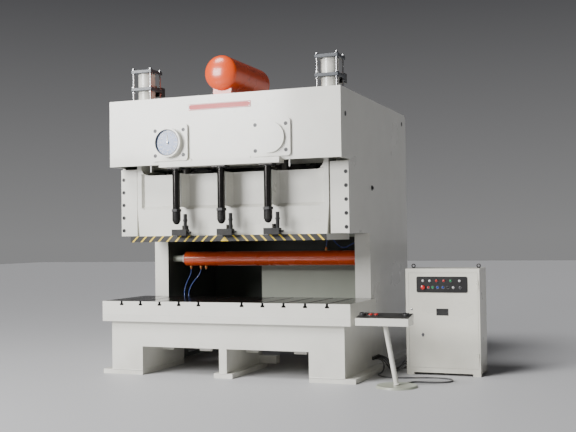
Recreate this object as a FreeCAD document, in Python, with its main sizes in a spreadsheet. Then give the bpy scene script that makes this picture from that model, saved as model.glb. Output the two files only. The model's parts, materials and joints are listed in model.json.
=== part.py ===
import FreeCAD, Part
import math
import os
import re
import Sketcher

# Open-front double-crank mechanical press with its cabinet, two-hand console and cables.
# Millimetres. Origin: floor level, at the centre of the four foundation bolts. +X is the operator's
# right, +Y goes from the operator to the back, +Z is up.

doc = FreeCAD.newDocument("press")
sheet = doc.addObject("Spreadsheet::Sheet", "dims")
Vector = FreeCAD.Vector
ALONG_X = FreeCAD.Rotation(Vector(0, 1, 0), 90)
ALONG_Y = FreeCAD.Rotation(Vector(1, 0, 0), -90)
UPRIGHT = FreeCAD.Rotation()

DIMENSIONS = {
    "overall": {
        "half_width": 1507, "depth": 2988, "crown_top": 3363, "crown_bottom": 2553,
        "plate": 40, "corner_cut": 60,
    },
    "throat": {
        "throat_front": 1106, "upright_width": 199, "web_depth": 520,
        "gib_front": 262, "gib_bottom": 1694, "gib_top": 2531, "gib_plate": 45, "gib_inner": 1282,
        "gib_back": 960, "gib_screws": 5, "gib_screw_inset": 34, "gib_screw_first": 71,
        "gib_screw_pitch": 160, "shield_left": 155,
        "shield_setback": 1600, "shield_top": 1330, "sheet": 4, "vent_rows": 6,
    },
    "bed": {
        "bolster_half": 1600, "bolster_lead": 51, "bolster_back": 1000, "bolster_top": 899,
        "bolster_bottom": 735, "bed_top": 652, "bed_setback": 14, "bed_depth": 1100,
        "arch_top": 346, "leg_inner": 1079, "centre_leg_half": 49, "centre_foot_half": 120,
        "foot_half": 1633, "foot_thick": 57, "foot_inner": 1380, "bracket_drop": 96,
        "bracket_middle": 390,
        "slot_first": 280, "slot_pitch": 262, "slots_per_side": 5, "slot_neck": 28, "slot_wide": 50,
        "slot_depth": 50, "slot_foot": 22, "bolt_inset_x": 63, "bolt_inset_y": 130, "bolt_hole": 24,
    },
    "drive": {
        "crank_height": 2812, "gear_module": 12, "gear_teeth": 66, "pinion_teeth": 20,
        "idler_teeth": 24,
        "gear_face": 120, "gear_front": 790, "tooth_gap": 1.2, "throw": 125, "journal": 110,
        "pin_radius": 85, "bush_wall": 20, "boss_wall": 45, "running": 0.05, "end_float": 1,
        "web_radius": 225, "web_thick": 90,
        "web_front": 205, "pin_length": 240, "middle_plate": 700, "rear_plate": 980,
        "shaft_radius": 60, "shaft_end": 1480, "idler_pin": 55, "flywheel_front": 1120,
        "flywheel_radius": 480, "flywheel_width": 190, "flywheel_rim": 90, "flywheel_web": 60,
        "belt_thick": 14, "belt_width": 22, "belt_pitch": 34, "belt_count": 4, "belt_gap": 0.5,
        "motor_height": 1900, "pulley_radius": 110, "motor_radius": 190, "motor_length": 560,
        "motor_front": 1380, "motor_shaft": 32, "clutch_radius": 190, "clutch_width": 70,
    },
    "rods": {
        "rod_length": 620, "rod_end_wall": 48, "rod_width": 180, "rod_shank": 72, "ball_screw": 55,
        "ball_radius": 100,
    },
    "slide": {
        "slide_half": 1268, "slide_front": 248, "slide_back": 940, "slide_wall": 60, "slide_low_half": 1241,
        "slide_taper_top": 2040, "slide_top": 2450, "ear_inner": 1210, "ear_top": 2700, "ear_round": 100,
        "ear_cut": 300, "panel_bottom": 2060, "panel_top": 2470, "panel_depth": 42, "fin_half": 22,
        "fin_front": 110, "flange_half": 1286, "flange_front": 100, "flange_back": 960,
        "flange_bottom": 1618, "flange_top": 1690, "seat_gap": 40, "guide_gap": 0.4,
        "notch_half": 225, "notch_gap": 16,
    },
    "knockout": {
        "knock_pitch": 598, "beam_half": 780, "beam_lead": 75, "beam_bottom": 2516, "beam_top": 2583,
        "beam_back": 85, "stop_setback": 21, "stop_radius": 45, "stop_bottom": 1824, "stop_thread": 153,
        "stop_flange": 85, "stop_flange_thick": 16, "bar_half": 44, "bar_tall": 75, "bar_lead": 25,
        "bar_lug": 150, "bar_lug_back": 60, "bar_back": 900, "bar_travel": 50, "bar_gap": 0.4,
        "stud_offset": 118, "stud_radius": 22, "stud_top": 1950, "knob_radius": 13, "knob_length": 40,
    },
    "dial": {
        "cover_wide": 490, "cover_tall": 440, "cover_thick": 30, "cover_round": 40,
        "screw_wide": 382, "screw_tall": 302, "screw_radius": 23, "screw_head": 16, "screw_sink": 14,
        "dial_radius": 178, "dial_depth": 66, "dial_rim": 24, "dial_recess": 24, "pointer_shaft": 10,
        "pointer_length": 96, "pointer_width": 9, "pointer_thick": 4, "pointer_grip": 30,
        "disc_radius": 178, "disc_thick": 34,
        "name_wide": 810, "name_tall": 74, "name_thick": 5, "name_height": 3226,
    },
    "air": {
        "balancer_offset": 1236, "balancer_setback": 455, "end_half": 145, "end_thick": 42,
        "barrel_radius": 107, "barrel_wall": 9, "balancer_middle": 3534, "balancer_top": 3800,
        "balancer_base": 3080, "tie_offset": 122, "tie_radius": 11, "tie_nut": 19, "tie_nut_tall": 22,
        "piston_tall": 60, "piston_rod": 32, "valve_wide": 90,
        "tank_offset": 110, "tank_radius": 213, "tank_height": 3672, "tank_front": 200, "tank_back": 1420,
        "tank_dish": 95, "saddle_wide": 240, "saddle_thick": 60,
        "pipe_radius": 95, "pipe_height": 1385, "pipe_setback": 1280, "pipe_left": 1115, "pipe_right": 1290,
        "pipe_stub": 34, "fitting_radius": 16, "fitting_drop": 34, "hose_radius": 7, "manifold_top": 765,
    },
    "cabinet": {
        "cabinet_left": 1985, "cabinet_wide": 879, "cabinet_front": 949, "cabinet_deep": 464,
        "cabinet_tall": 1260, "cabinet_foot": 30, "cabinet_foot_wide": 90, "cabinet_skin": 5,
        "door_left": 38, "door_right": 21, "door_low": 89, "door_high": 52, "door_gap": 2,
        "door_thick": 22, "hinge_radius": 7, "hinge_long": 90, "hinge_gap": 0.3, "lock_offset": 201,
        "lock_height": 476, "lock_radius": 11, "panel_left": 133, "panel_wide": 607,
        "panel_low": 977, "panel_tall": 189,
        "panel_thick": 6, "panel_round": 20, "lamp_radius": 13, "lamp_tall": 12, "row_high": 1116,
        "row_low": 1038, "button_pitch": 58, "button_radius": 14, "button_tall": 15, "button_travel": 5,
        "mushroom_radius": 26, "mushroom_tall": 26, "stem_radius": 9, "stem_gap": 0.1, "eye_radius": 20,
        "eye_wire": 6, "gland_radius": 17, "gland_long": 26, "gland_height": 150,
    },
    "console": {
        "console_left": 1684, "console_wide": 596, "console_front": 145, "console_deep": 250,
        "console_low": 674, "console_high": 757, "console_rise": 38, "stand_offset": 2110,
        "stand_setback": 20, "base_radius": 230, "base_thick": 24, "leg_radius": 26, "leg_top_offset": 1990,
        "palm_radius": 24, "palm_tall": 22, "palm_travel": 6, "palm_stem": 9, "guard_tall": 30,
        "guard_outer": 37, "guard_inner": 32,
        "cable_radius": 9, "cable_end_offset": 60, "cable_end_setback": 221,
    },
}

row = 0
for group, entries in DIMENSIONS.items():
    row += 1
    sheet.set("A%d" % row, group)
    for alias, number in entries.items():
        row += 1
        sheet.set("A%d" % row, alias)
        sheet.set("B%d" % row, str(number))
        sheet.setAlias("B%d" % row, alias)
ALIASES = {alias for entries in DIMENSIONS.values() for alias in entries}
doc.recompute()


def bound(text):
    """Point every named size in an expression at the sheet."""
    return re.sub(r"[a-z_]+", lambda word: "dims." + word.group() if word.group() in ALIASES
                  else word.group(), text)


def value(text):
    """The number that an expression of named sizes gives."""
    sizes = {alias: float(getattr(sheet, alias)) for alias in ALIASES}
    for name in re.findall(r"[a-z_]+", text):
        text = re.sub(r"\b%s\b" % name, repr(sizes[name]), text)
    return FreeCAD.Units.Quantity(text).Value


# Named places that several pieces share, as expressions of the sheet's sizes.
FRONT = "(-depth / 2)"                                   # front face of the crown
INNER = "(half_width - plate)"                           # inner face of a side plate
UPRIGHT_INNER = "(half_width - upright_width)"
CRANK = "(gear_module * (gear_teeth + pinion_teeth + idler_teeth) / 2)"
GEAR_PITCH = "(gear_module * gear_teeth / 2)"
PINION_X = "(-gear_module * (idler_teeth + pinion_teeth + gear_teeth) / 2" \
           " + gear_module * (gear_teeth + pinion_teeth) / 2)"
IDLER_X = "(gear_module * (gear_teeth + pinion_teeth + idler_teeth) / 2" \
          " - gear_module * (gear_teeth + idler_teeth) / 2)"
PIN_HEIGHT = "(crank_height + throw)"
BALL_HEIGHT = "(crank_height + throw - rod_length)"
BAR_LOW = "(flange_top + bar_gap)"


def y_at(setback):
    """A place measured back from the crown's front face."""
    return FRONT + " + " + setback


def place(item, x="0", y="0", z="0", turn=UPRIGHT):
    item.Placement = FreeCAD.Placement(Vector(), turn)
    for axis, text in zip("xyz", (x, y, z)):
        item.setExpression("Placement.Base." + axis, bound(text))
    return item


def block(name, x, y, z, wide, deep, tall):
    item = doc.addObject("Part::Box", name)
    for size, text in zip(("Length", "Width", "Height"), (wide, deep, tall)):
        item.setExpression(size, bound(text))
    return place(item, x, y, z)


def rod(name, radius, length, x, y, z, turn=UPRIGHT):
    item = doc.addObject("Part::Cylinder", name)
    item.setExpression("Radius", bound(radius))
    item.setExpression("Height", bound(length))
    return place(item, x, y, z, turn)


def cone(name, first, second, length, x, y, z, turn=UPRIGHT):
    item = doc.addObject("Part::Cone", name)
    for size, text in zip(("Radius1", "Radius2", "Height"), (first, second, length)):
        item.setExpression(size, bound(text))
    return place(item, x, y, z, turn)


def ball(name, radius, x, y, z):
    item = doc.addObject("Part::Sphere", name)
    item.setExpression("Radius", bound(radius))
    return place(item, x, y, z)


def fuse(name, pieces):
    item = doc.addObject("Part::MultiFuse", name)
    item.Shapes = pieces
    item.Refine = True
    return item


def cut(name, base, tool):
    item = doc.addObject("Part::Cut", name)
    item.Base = base
    item.Tool = tool if not isinstance(tool, list) else fuse(name + "_tools", tool)
    return item


def group(name, pieces):
    item = doc.addObject("Part::Compound", name)
    item.Links = pieces
    return item


def round_edges(name, base, radius, wanted):
    """Fillet the edges of a finished shape that the test picks out."""
    doc.recompute()
    item = doc.addObject("Part::Fillet", name)
    item.Base = base
    item.Edges = [(i + 1, radius, radius) for i, edge in enumerate(base.Shape.Edges) if wanted(edge)]
    return item


def tube(name, outer, inner, length, x, y, z, turn=UPRIGHT):
    return cut(name, rod(name + "_outer", outer, length, x, y, z, turn),
               rod(name + "_bore", inner, length, x, y, z, turn))


def outline(body, name, plane, points):
    """A fully constrained polygon: each corner is held to the origin by two named sizes."""
    sketch = body.newObject("Sketcher::SketchObject", name)
    origin = [item for item in body.Origin.OriginFeatures if item.Role == plane][0]
    sketch.AttachmentSupport = (origin, "")
    sketch.MapMode = "FlatFace"
    corners = [Vector(value(across), value(up), 0) for across, up in points]
    for i, corner in enumerate(corners):
        sketch.addGeometry(Part.LineSegment(corner, corners[(i + 1) % len(corners)]), False)
    for i in range(len(corners)):
        sketch.addConstraint(Sketcher.Constraint("Coincident", i, 2, (i + 1) % len(corners), 1))
    for i, (across, up) in enumerate(points):
        for kind, text, number in (("DistanceX", across, corners[i].x), ("DistanceY", up, corners[i].y)):
            index = sketch.addConstraint(Sketcher.Constraint(kind, -1, 1, i, 1, number))
            sketch.setExpression("Constraints[%d]" % index, bound(text))
    return sketch


def profile_plate(name, plane, points, thick, x="0", y="0", z="0"):
    """A plate of the given outline, padded towards the positive side of its plane."""
    body = doc.addObject("PartDesign::Body", name)
    pad = body.newObject("PartDesign::Pad", name + "_pad")
    pad.Profile = outline(body, name + "_outline", plane, points)
    pad.setExpression("Length", bound(thick))
    pad.Reversed = plane == "XZ_Plane"
    return place(body, x, y, z)


def turned(name, points, x, y, z):
    """A body of revolution about a line along Y; each point is (distance back, radius)."""
    body = doc.addObject("PartDesign::Body", name)
    spin = body.newObject("PartDesign::Revolution", name + "_turn")
    spin.Profile = outline(body, name + "_outline", "XY_Plane", [(r, back) for back, r in points])
    axis = [item for item in body.Origin.OriginFeatures if item.Role == "Y_Axis"][0]
    spin.ReferenceAxis = (axis, [""])
    return place(body, x, y, z)


def solid(name, shape):
    item = doc.addObject("Part::Feature", name)
    item.Shape = shape
    return item


NODES = {}


def node(name, item):
    """Name a finished sub-part; its label is the name of its file."""
    item.Label = name
    NODES[name] = item
    return item


SIDES = (("left", "-"), ("right", ""))


def mirrored_x(sign, near, wide):
    """Left end of a span that starts at `near` from the middle and goes outwards."""
    return near if sign == "" else "-(%s) - (%s)" % (near, wide)


# ---- frame -----------------------------------------------------------------------------------------

CABLES_OUT = (1130, 1210, 1290, 1370)


def side_frame(side, sign):
    """C-shaped side plate with the box column behind the throat and its foot."""
    back = y_at("depth")
    shape = [
        (y_at("plate"), "crown_top"), (y_at("plate"), "crown_bottom"),
        (y_at("gib_front + gib_plate"), "crown_bottom"), (y_at("gib_front + gib_plate"), "gib_bottom"),
        (y_at("throat_front + plate"), "gib_bottom"), (y_at("throat_front + plate"), "bed_top"),
        (y_at("bed_setback + plate"), "bed_top"), (y_at("bed_setback + plate"), "foot_thick"),
        (back, "foot_thick"), (back, "crown_top - corner_cut"), (back + " - corner_cut", "crown_top"),
    ]
    skin = profile_plate("side_skin_" + side, "YZ_Plane", shape, "plate",
                         x=mirrored_x(sign, INNER, "plate"))
    column = block("column_face_" + side, mirrored_x(sign, UPRIGHT_INNER, "upright_width"),
                   y_at("throat_front"), "bed_top", "upright_width", "plate", "gib_bottom - bed_top")
    web = block("column_web_" + side, mirrored_x(sign, UPRIGHT_INNER, "plate"),
                y_at("throat_front + plate"), "foot_thick", "plate", "web_depth",
                "crown_bottom - foot_thick")
    foot = block("side_foot_" + side, mirrored_x(sign, "foot_inner", "foot_half - foot_inner"),
                 y_at("bed_depth"), "0", "foot_half - foot_inner", "depth - bed_depth", "foot_thick")
    pieces = [skin, column, web, foot]
    if side == "right":
        for i, back in enumerate(CABLES_OUT):
            pieces.append(rod("press_gland_%d" % i, "gland_radius", "gland_long", "half_width",
                              y_at(str(back)), "gland_height", ALONG_X))
    welded = fuse("side_weldment_" + side, pieces)
    hole = rod("side_bolt_hole_" + side, "bolt_hole", "foot_thick", sign + "(foot_half - bolt_inset_x)",
               y_at("depth - bolt_inset_y"), "0")
    node("side_frame_" + side, cut("side_frame_" + side, welded, hole))


for side, sign in SIDES:
    side_frame(side, sign)

face = block("crown_face", "-half_width", FRONT, "crown_bottom", "2 * half_width", "plate",
             "crown_top - crown_bottom")
lid = block("crown_lid", "-" + INNER, y_at("plate"), "crown_top - plate", "2 * " + INNER,
            "depth - plate - corner_cut", "plate")
middle = block("crown_middle", "-" + INNER, y_at("middle_plate"), "crown_bottom", "2 * " + INNER, "plate",
               "crown_top - plate - crown_bottom")
rear = block("crown_rear", "-" + INNER, y_at("rear_plate"), "crown_bottom", "2 * " + INNER, "plate",
             "crown_top - plate - crown_bottom")
tail = block("crown_tail", "-" + INNER, y_at("depth - 3 * plate"), "crown_top - 6 * plate",
             "2 * " + INNER, "plate", "5 * plate")
bosses, bores = [], []
BOSS = "(journal + bush_wall + boss_wall)"
for side, sign in SIDES:
    for spot, start in (("front", "plate"), ("back", "middle_plate - bush_wall * 2")):
        bosses.append(rod("boss_%s_%s" % (spot, side), BOSS, "web_front - web_thick" if spot == "front"
                          else "bush_wall * 2", sign + CRANK, y_at(start), "crank_height", ALONG_Y))
    bores.append(rod("crank_bore_" + side, "journal + bush_wall", "middle_plate + plate", sign + CRANK,
                     FRONT, "crank_height", ALONG_Y))
    bores.append(rod("balancer_hole_" + side, "barrel_radius + running", "plate",
                     sign + "balancer_offset", y_at("balancer_setback"), "crown_top - plate"))
bores.append(rod("shaft_bore_middle", "shaft_radius + running", "rear_plate", PINION_X, y_at("middle_plate"),
                 "crank_height", ALONG_Y))
idler_axle = rod("idler_axle", "idler_pin", "rear_plate - middle_plate", IDLER_X, y_at("middle_plate"),
                 "crank_height", ALONG_Y)
node("crown_frame", cut("crown_frame", fuse("crown_weldment",
                                            [face, lid, middle, rear, tail, idler_axle] + bosses), bores))

bed_points = [
    ("-half_width", "bed_top"), ("-half_width", "foot_thick"), ("-leg_inner", "foot_thick"),
    ("-leg_inner", "arch_top"), ("-centre_leg_half", "arch_top"), ("-centre_leg_half", "foot_thick"),
    ("centre_leg_half", "foot_thick"), ("centre_leg_half", "arch_top"), ("leg_inner", "arch_top"),
    ("leg_inner", "foot_thick"), ("half_width", "foot_thick"), ("half_width", "bed_top"),
]
apron = profile_plate("bed_apron", "XZ_Plane", bed_points, "plate", y=y_at("bed_setback"))
inside = "bed_depth - bed_setback - plate"
bed_pieces = [
    apron,
    block("bed_table", "-bolster_half", y_at("-bolster_lead"), "bed_top", "2 * bolster_half",
          "bolster_back + bolster_lead", "bolster_bottom - bed_top"),
    block("bed_floor", "-" + INNER, y_at("bed_setback + plate"), "arch_top", "2 * " + INNER, inside,
          "plate"),
    block("bed_back", "-" + INNER, y_at("bed_depth - plate"), "arch_top", "2 * " + INNER, "plate",
          "bed_top - arch_top"),
    block("centre_leg", "-centre_leg_half", y_at("bed_setback + plate"), "foot_thick",
          "2 * centre_leg_half", inside, "bed_top - foot_thick"),
    block("centre_foot", "-centre_foot_half", y_at("bed_setback"), "0", "2 * centre_foot_half",
          "bed_depth - bed_setback", "foot_thick"),
    block("drain_box", "centre_leg_half", y_at("bed_depth - 3 * plate"), "foot_thick + 2",
          "6 * plate", "3 * plate", "arch_top - foot_thick - 2 * bracket_drop"),
    block("hose_manifold", "-pipe_left", y_at("bed_depth"), "bed_top - plate", "8 * fitting_radius",
          "5 * fitting_radius", "manifold_top - bed_top + plate"),
]
for side, sign in SIDES:
    bed_pieces += [
        block("leg_web_" + side, mirrored_x(sign, "leg_inner", "plate"), y_at("bed_setback + plate"),
              "foot_thick", "plate", inside, "bed_top - foot_thick"),
        block("leg_foot_" + side, mirrored_x(sign, "leg_inner", "foot_half - leg_inner"),
              y_at("bed_setback"), "0", "foot_half - leg_inner", "bed_depth - bed_setback", "foot_thick"),
    ]
BRACKETS = ("-leg_inner", "-bracket_middle - 4 * plate", "2 * plate", "bracket_middle + 8 * plate")
for i, start in enumerate(BRACKETS):
    bed_pieces.append(block("bed_bracket_%d" % i, start, y_at("bed_depth / 2 - plate"),
                            "arch_top - bracket_drop", "4 * plate", "plate", "bracket_drop"))
bed_holes = [rod("bed_bolt_hole_" + side, "bolt_hole", "foot_thick", sign + "(foot_half - bolt_inset_x)",
                 y_at("bolt_inset_y"), "0") for side, sign in SIDES]
node("bed_frame", cut("bed_frame", fuse("bed_weldment", bed_pieces), bed_holes))

slot_tools = []
for side, sign in SIDES:
    for i in range(int(value("slots_per_side"))):
        centre = "%s(slot_first + %d * slot_pitch)" % (sign, i)
        tag = "%s_%d" % (side, i)
        long = "bolster_back + bolster_lead"
        slot_tools.append(block("slot_neck_" + tag, centre + " - slot_neck / 2", y_at("-bolster_lead"),
                                "bolster_top - slot_depth", "slot_neck", long, "slot_depth"))
        slot_tools.append(block("slot_foot_" + tag, centre + " - slot_wide / 2", y_at("-bolster_lead"),
                                "bolster_top - slot_depth", "slot_wide", long, "slot_foot"))
node("bolster_plate", cut("bolster_plate", block("bolster_blank", "-bolster_half", y_at("-bolster_lead"),
                                                 "bolster_bottom", "2 * bolster_half",
                                                 "bolster_back + bolster_lead",
                                                 "bolster_top - bolster_bottom"), slot_tools))

guard = block("guard_sheet", "-" + INNER, y_at("depth - 2 * plate"), "bed_top", "2 * " + INNER, "sheet",
              "crown_top - 7 * plate - bed_top")
vents = []
for side, share in (("left", "-0.7"), ("right", "0.2")):
    for i in range(int(value("vent_rows"))):
        vents.append(block("vent_%s_%d" % (side, i), share + " * " + INNER, y_at("depth - 2 * plate"),
                           "gib_bottom + %d * 2 * plate" % i, INNER + " / 2", "sheet", "plate / 2"))
node("back_guard", cut("back_guard", guard, vents))
node("throat_shield", block("throat_shield", "-shield_left", y_at("shield_setback"), "bed_top",
                            UPRIGHT_INNER + " + shield_left", "sheet", "shield_top - bed_top"))

screw_pieces = []


def socket_screw(name, x, y, z):
    """A cap screw whose head sits in its counterbore and faces the operator."""
    head = rod(name + "_head", "screw_radius", "screw_head", x, y, z, ALONG_Y)
    socket = rod(name + "_socket", "screw_radius * 0.5", "screw_head / 2", x, y, z, ALONG_Y)
    screw_pieces.append(cut(name, head, socket))


GIB_LEAD = "gib_front + screw_sink - screw_head"
for side, sign in SIDES:
    plate_x = mirrored_x(sign, "gib_inner", "half_width - gib_inner")
    guide_x = mirrored_x(sign, "slide_half + guide_gap", INNER + " - slide_half - guide_gap")
    front_plate = block("gib_plate_" + side, plate_x, y_at("gib_front"), "gib_bottom",
                        "half_width - gib_inner", "gib_plate", "gib_top - gib_bottom")
    guide = block("gib_guide_" + side, guide_x, y_at("gib_front + gib_plate"), "gib_bottom",
                  INNER + " - slide_half - guide_gap", "gib_back - gib_front - gib_plate",
                  "gib_top - gib_bottom")
    sinks = []
    for i in range(int(value("gib_screws"))):
        height = "gib_bottom + gib_screw_first + %d * gib_screw_pitch" % i
        screw_x = sign + "(half_width - gib_screw_inset)"
        sinks.append(rod("gib_sink_%s_%d" % (side, i), "screw_radius + running", "screw_sink", screw_x,
                         y_at("gib_front"), height, ALONG_Y))
        socket_screw("gib_screw_%s_%d" % (side, i), screw_x, y_at(GIB_LEAD), height)
    node("gib_" + side, cut("gib_" + side, fuse("gib_blank_" + side, [front_plate, guide]), sinks))


# ---- dial, covers and name plate ---------------------------------------------------------------------

def cover_plate(name, sign):
    points = [("-cover_wide / 2", "-cover_tall / 2"), ("cover_wide / 2", "-cover_tall / 2"),
              ("cover_wide / 2", "cover_tall / 2"), ("-cover_wide / 2", "cover_tall / 2")]
    blank = profile_plate(name + "_blank", "XZ_Plane", points, "cover_thick", x=sign + CRANK,
                          y=y_at("-cover_thick"), z="crank_height")
    plate = round_edges(name + "_rounded", blank, value("cover_round"),
                        lambda edge: abs(edge.Length - value("cover_thick")) < 0.01)
    sinks = []
    for i, (left, up) in enumerate((("-", "-"), ("", "-"), ("-", ""), ("", ""))):
        across = "%s%s %s screw_wide / 2" % (sign, CRANK, left or "+")
        height = "crank_height %s screw_tall / 2" % (up or "+")
        sinks.append(rod("%s_sink_%d" % (name, i), "screw_radius + running", "screw_sink", across,
                         y_at("-cover_thick"), height, ALONG_Y))
        socket_screw("%s_screw_%d" % (name, i), across, y_at("screw_sink - cover_thick - screw_head"),
                     height)
    return plate, sinks


plate, sinks = cover_plate("dial_plate", "-")
sinks.append(rod("dial_plate_bore", "pointer_shaft + running", "cover_thick", "-" + CRANK,
                 y_at("-cover_thick"), "crank_height", ALONG_Y))
node("dial_plate", cut("dial_plate", plate, sinks))
plate, sinks = cover_plate("bearing_cover", "")
disc = rod("bearing_cover_disc", "disc_radius", "disc_thick", CRANK, y_at("-cover_thick - disc_thick"),
           "crank_height", ALONG_Y)
node("bearing_cover", fuse("bearing_cover", [cut("bearing_cover_drilled", plate, sinks), disc]))
node("socket_screws", group("socket_screws", screw_pieces))

case = rod("dial_case", "dial_radius", "dial_depth", "-" + CRANK, y_at("-cover_thick - dial_depth"),
           "crank_height", ALONG_Y)
recess = rod("dial_recess_cut", "dial_radius - dial_rim", "dial_recess", "-" + CRANK,
             y_at("-cover_thick - dial_depth"), "crank_height", ALONG_Y)
bore = rod("dial_bore", "pointer_shaft + running", "dial_depth", "-" + CRANK,
           y_at("-cover_thick - dial_depth"), "crank_height", ALONG_Y)
node("dial", cut("dial", case, [recess, bore]))

pointer_y = y_at("dial_recess - cover_thick - dial_depth - 2 * pointer_thick")
needle = profile_plate("pointer_needle", "XZ_Plane",
                       [("-pointer_width", "-pointer_length / 4"), ("pointer_width", "-pointer_length / 4"),
                        ("pointer_width / 4", "pointer_length"), ("-pointer_width / 4", "pointer_length")],
                       "pointer_thick", x="-" + CRANK, y=pointer_y, z="crank_height")
arbor = rod("pointer_arbor", "pointer_shaft", "cover_thick + dial_depth - dial_recess"
            " + 2 * pointer_thick + plate / 2 + pointer_grip", "-" + CRANK, pointer_y, "crank_height", ALONG_Y)
node("dial_pointer", fuse("dial_pointer", [needle, arbor]))
node("nameplate", block("nameplate", "-name_wide / 2", y_at("-name_thick"), "name_height - name_tall / 2",
                        "name_wide", "name_thick", "name_tall"))


# ---- crank drive -------------------------------------------------------------------------------------

PIN_START = "web_front + web_thick"
PIN_STOP = "(web_front + web_thick + pin_length)"
bushes = []
for side, sign in SIDES:
    for spot, start, long in (("front", "0", "web_front - end_float"),
                              ("back", "middle_plate - bush_wall * 2", "plate + bush_wall * 2")):
        bushes.append(tube("bush_%s_%s" % (spot, side), "journal + bush_wall", "journal + running", long,
                           sign + CRANK, y_at(start), "crank_height", ALONG_Y))
node("crank_bearings", group("crank_bearings", bushes))


def web(name, sign, start):
    """Crank web: two discs joined by the tangents between them."""
    big = rod(name + "_hub", "web_radius - throw / 2", "web_thick", sign + CRANK, y_at(start),
              "crank_height", ALONG_Y)
    small = rod(name + "_nose", "pin_radius + bush_wall * 2", "web_thick", sign + CRANK, y_at(start),
                PIN_HEIGHT, ALONG_Y)
    cheek = block(name + "_cheek", "%s%s - pin_radius - bush_wall * 2" % (sign, CRANK), y_at(start),
                  "crank_height", "2 * (pin_radius + bush_wall * 2)", "web_thick", "throw")
    return [big, small, cheek]


for side, sign in SIDES:
    journal_front = rod("journal_front_" + side, "journal", "web_front - plate / 2", sign + CRANK,
                        y_at("plate / 2"), "crank_height", ALONG_Y)
    pin = rod("crank_pin_" + side, "pin_radius", "pin_length", sign + CRANK, y_at(PIN_START), PIN_HEIGHT,
              ALONG_Y)
    journal_back = rod("journal_back_" + side, "journal", "gear_front + gear_face - %s - web_thick"
                       % PIN_STOP, sign + CRANK, y_at(PIN_STOP + " + web_thick"), "crank_height", ALONG_Y)
    pieces = [journal_front, pin, journal_back] + web("web_front_" + side, sign, "web_front") \
        + web("web_back_" + side, sign, PIN_STOP)
    crank = fuse("crank_forging_" + side, pieces)
    if side == "left":
        seat = rod("pointer_seat", "pointer_shaft", "web_front - plate / 2", "-" + CRANK,
                   y_at("plate / 2"), "crank_height", ALONG_Y)
        crank = cut("crank_drilled", crank, seat)
    node("crankshaft_" + side, crank)


def gear_outline(teeth, module, gap, tooth_up):
    """Involute spur gear; tooth_up says whether a tooth, not a space, points along +X."""
    pressure = math.radians(20)
    pitch = module * teeth / 2
    base, tip, root = pitch * math.cos(pressure), pitch + module, pitch - 1.25 * module
    involute = math.tan(pressure) - pressure
    half = math.pi / (2 * teeth) - gap / (2 * pitch) + involute

    def flank(radius):
        swing = math.acos(min(1, base / radius))
        return radius, half - (math.tan(swing) - swing)

    def point(radius, angle):
        return Vector(radius * math.cos(angle), 0, radius * math.sin(angle))

    edges = []
    turn = 2 * math.pi / teeth
    low = max(base, root) + 0.01
    for i in range(teeth):
        middle = i * turn + (0 if tooth_up else turn / 2)
        rise = [flank(low), flank((low + tip) / 2), flank(tip)]
        left = [point(r, middle - a) for r, a in rise]
        right = [point(r, middle + a) for r, a in rise[::-1]]
        edges.append(Part.Arc(*left).toShape())
        edges.append(Part.LineSegment(left[-1], right[0]).toShape())
        edges.append(Part.Arc(*right).toShape())
        foot = point(root, middle + rise[0][1])
        landing = point(root, middle + turn - rise[0][1])
        following = point(low, middle + turn - rise[0][1])
        if (right[-1] - foot).Length > 0.05:
            edges.append(Part.LineSegment(right[-1], foot).toShape())
            edges.append(Part.LineSegment(foot, landing).toShape())
            edges.append(Part.LineSegment(landing, following).toShape())
        else:
            edges.append(Part.LineSegment(right[-1], following).toShape())
    return Part.Face(Part.Wire(edges))


def gear(name, count, x, tooth_up):
    """Toothed blank, as thick as the sheet says, with its front face at the gear plane."""
    face = gear_outline(int(value(count)), value("gear_module"), value("tooth_gap"), tooth_up)
    item = solid(name, face.extrude(Vector(0, value("gear_face"), 0)))
    return place(item, x, y_at("gear_front"), "crank_height")


for side, sign in SIDES:
    blank = gear("gear_blank_" + side, "gear_teeth", sign + CRANK, side == "left")
    seat = rod("gear_seat_" + side, "journal", "gear_face", sign + CRANK, y_at("gear_front"),
               "crank_height", ALONG_Y)
    dish = tube("gear_dish_" + side, GEAR_PITCH + " - 4 * gear_module", "journal + 4 * bush_wall",
                "gear_face / 3", sign + CRANK, y_at("gear_front"), "crank_height", ALONG_Y)
    lightening = [rod("gear_hole_%s_%d" % (side, i), "journal / 2", "gear_face", "%s%s + %.6f * %s"
                      % (sign, CRANK, 0.66 * math.cos(math.radians(60 * i)), GEAR_PITCH),
                      y_at("gear_front"), "crank_height + %.6f * %s"
                      % (0.66 * math.sin(math.radians(60 * i)), GEAR_PITCH), ALONG_Y) for i in range(6)]
    node("crank_gear_" + side, cut("crank_gear_" + side, blank, [seat, dish] + lightening))

pinion = gear("pinion_teeth_ring", "pinion_teeth", PINION_X, False)
shaft = rod("drive_shaft", "shaft_radius", "shaft_end - middle_plate", PINION_X, y_at("middle_plate"),
            "crank_height", ALONG_Y)
node("pinion_shaft", fuse("pinion_shaft", [pinion, shaft]))
idler_hole = rod("idler_bore", "idler_pin + running", "gear_face", IDLER_X, y_at("gear_front"),
                 "crank_height", ALONG_Y)
node("idler_gear", cut("idler_gear", gear("idler_blank", "idler_teeth", IDLER_X, True), idler_hole))

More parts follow.
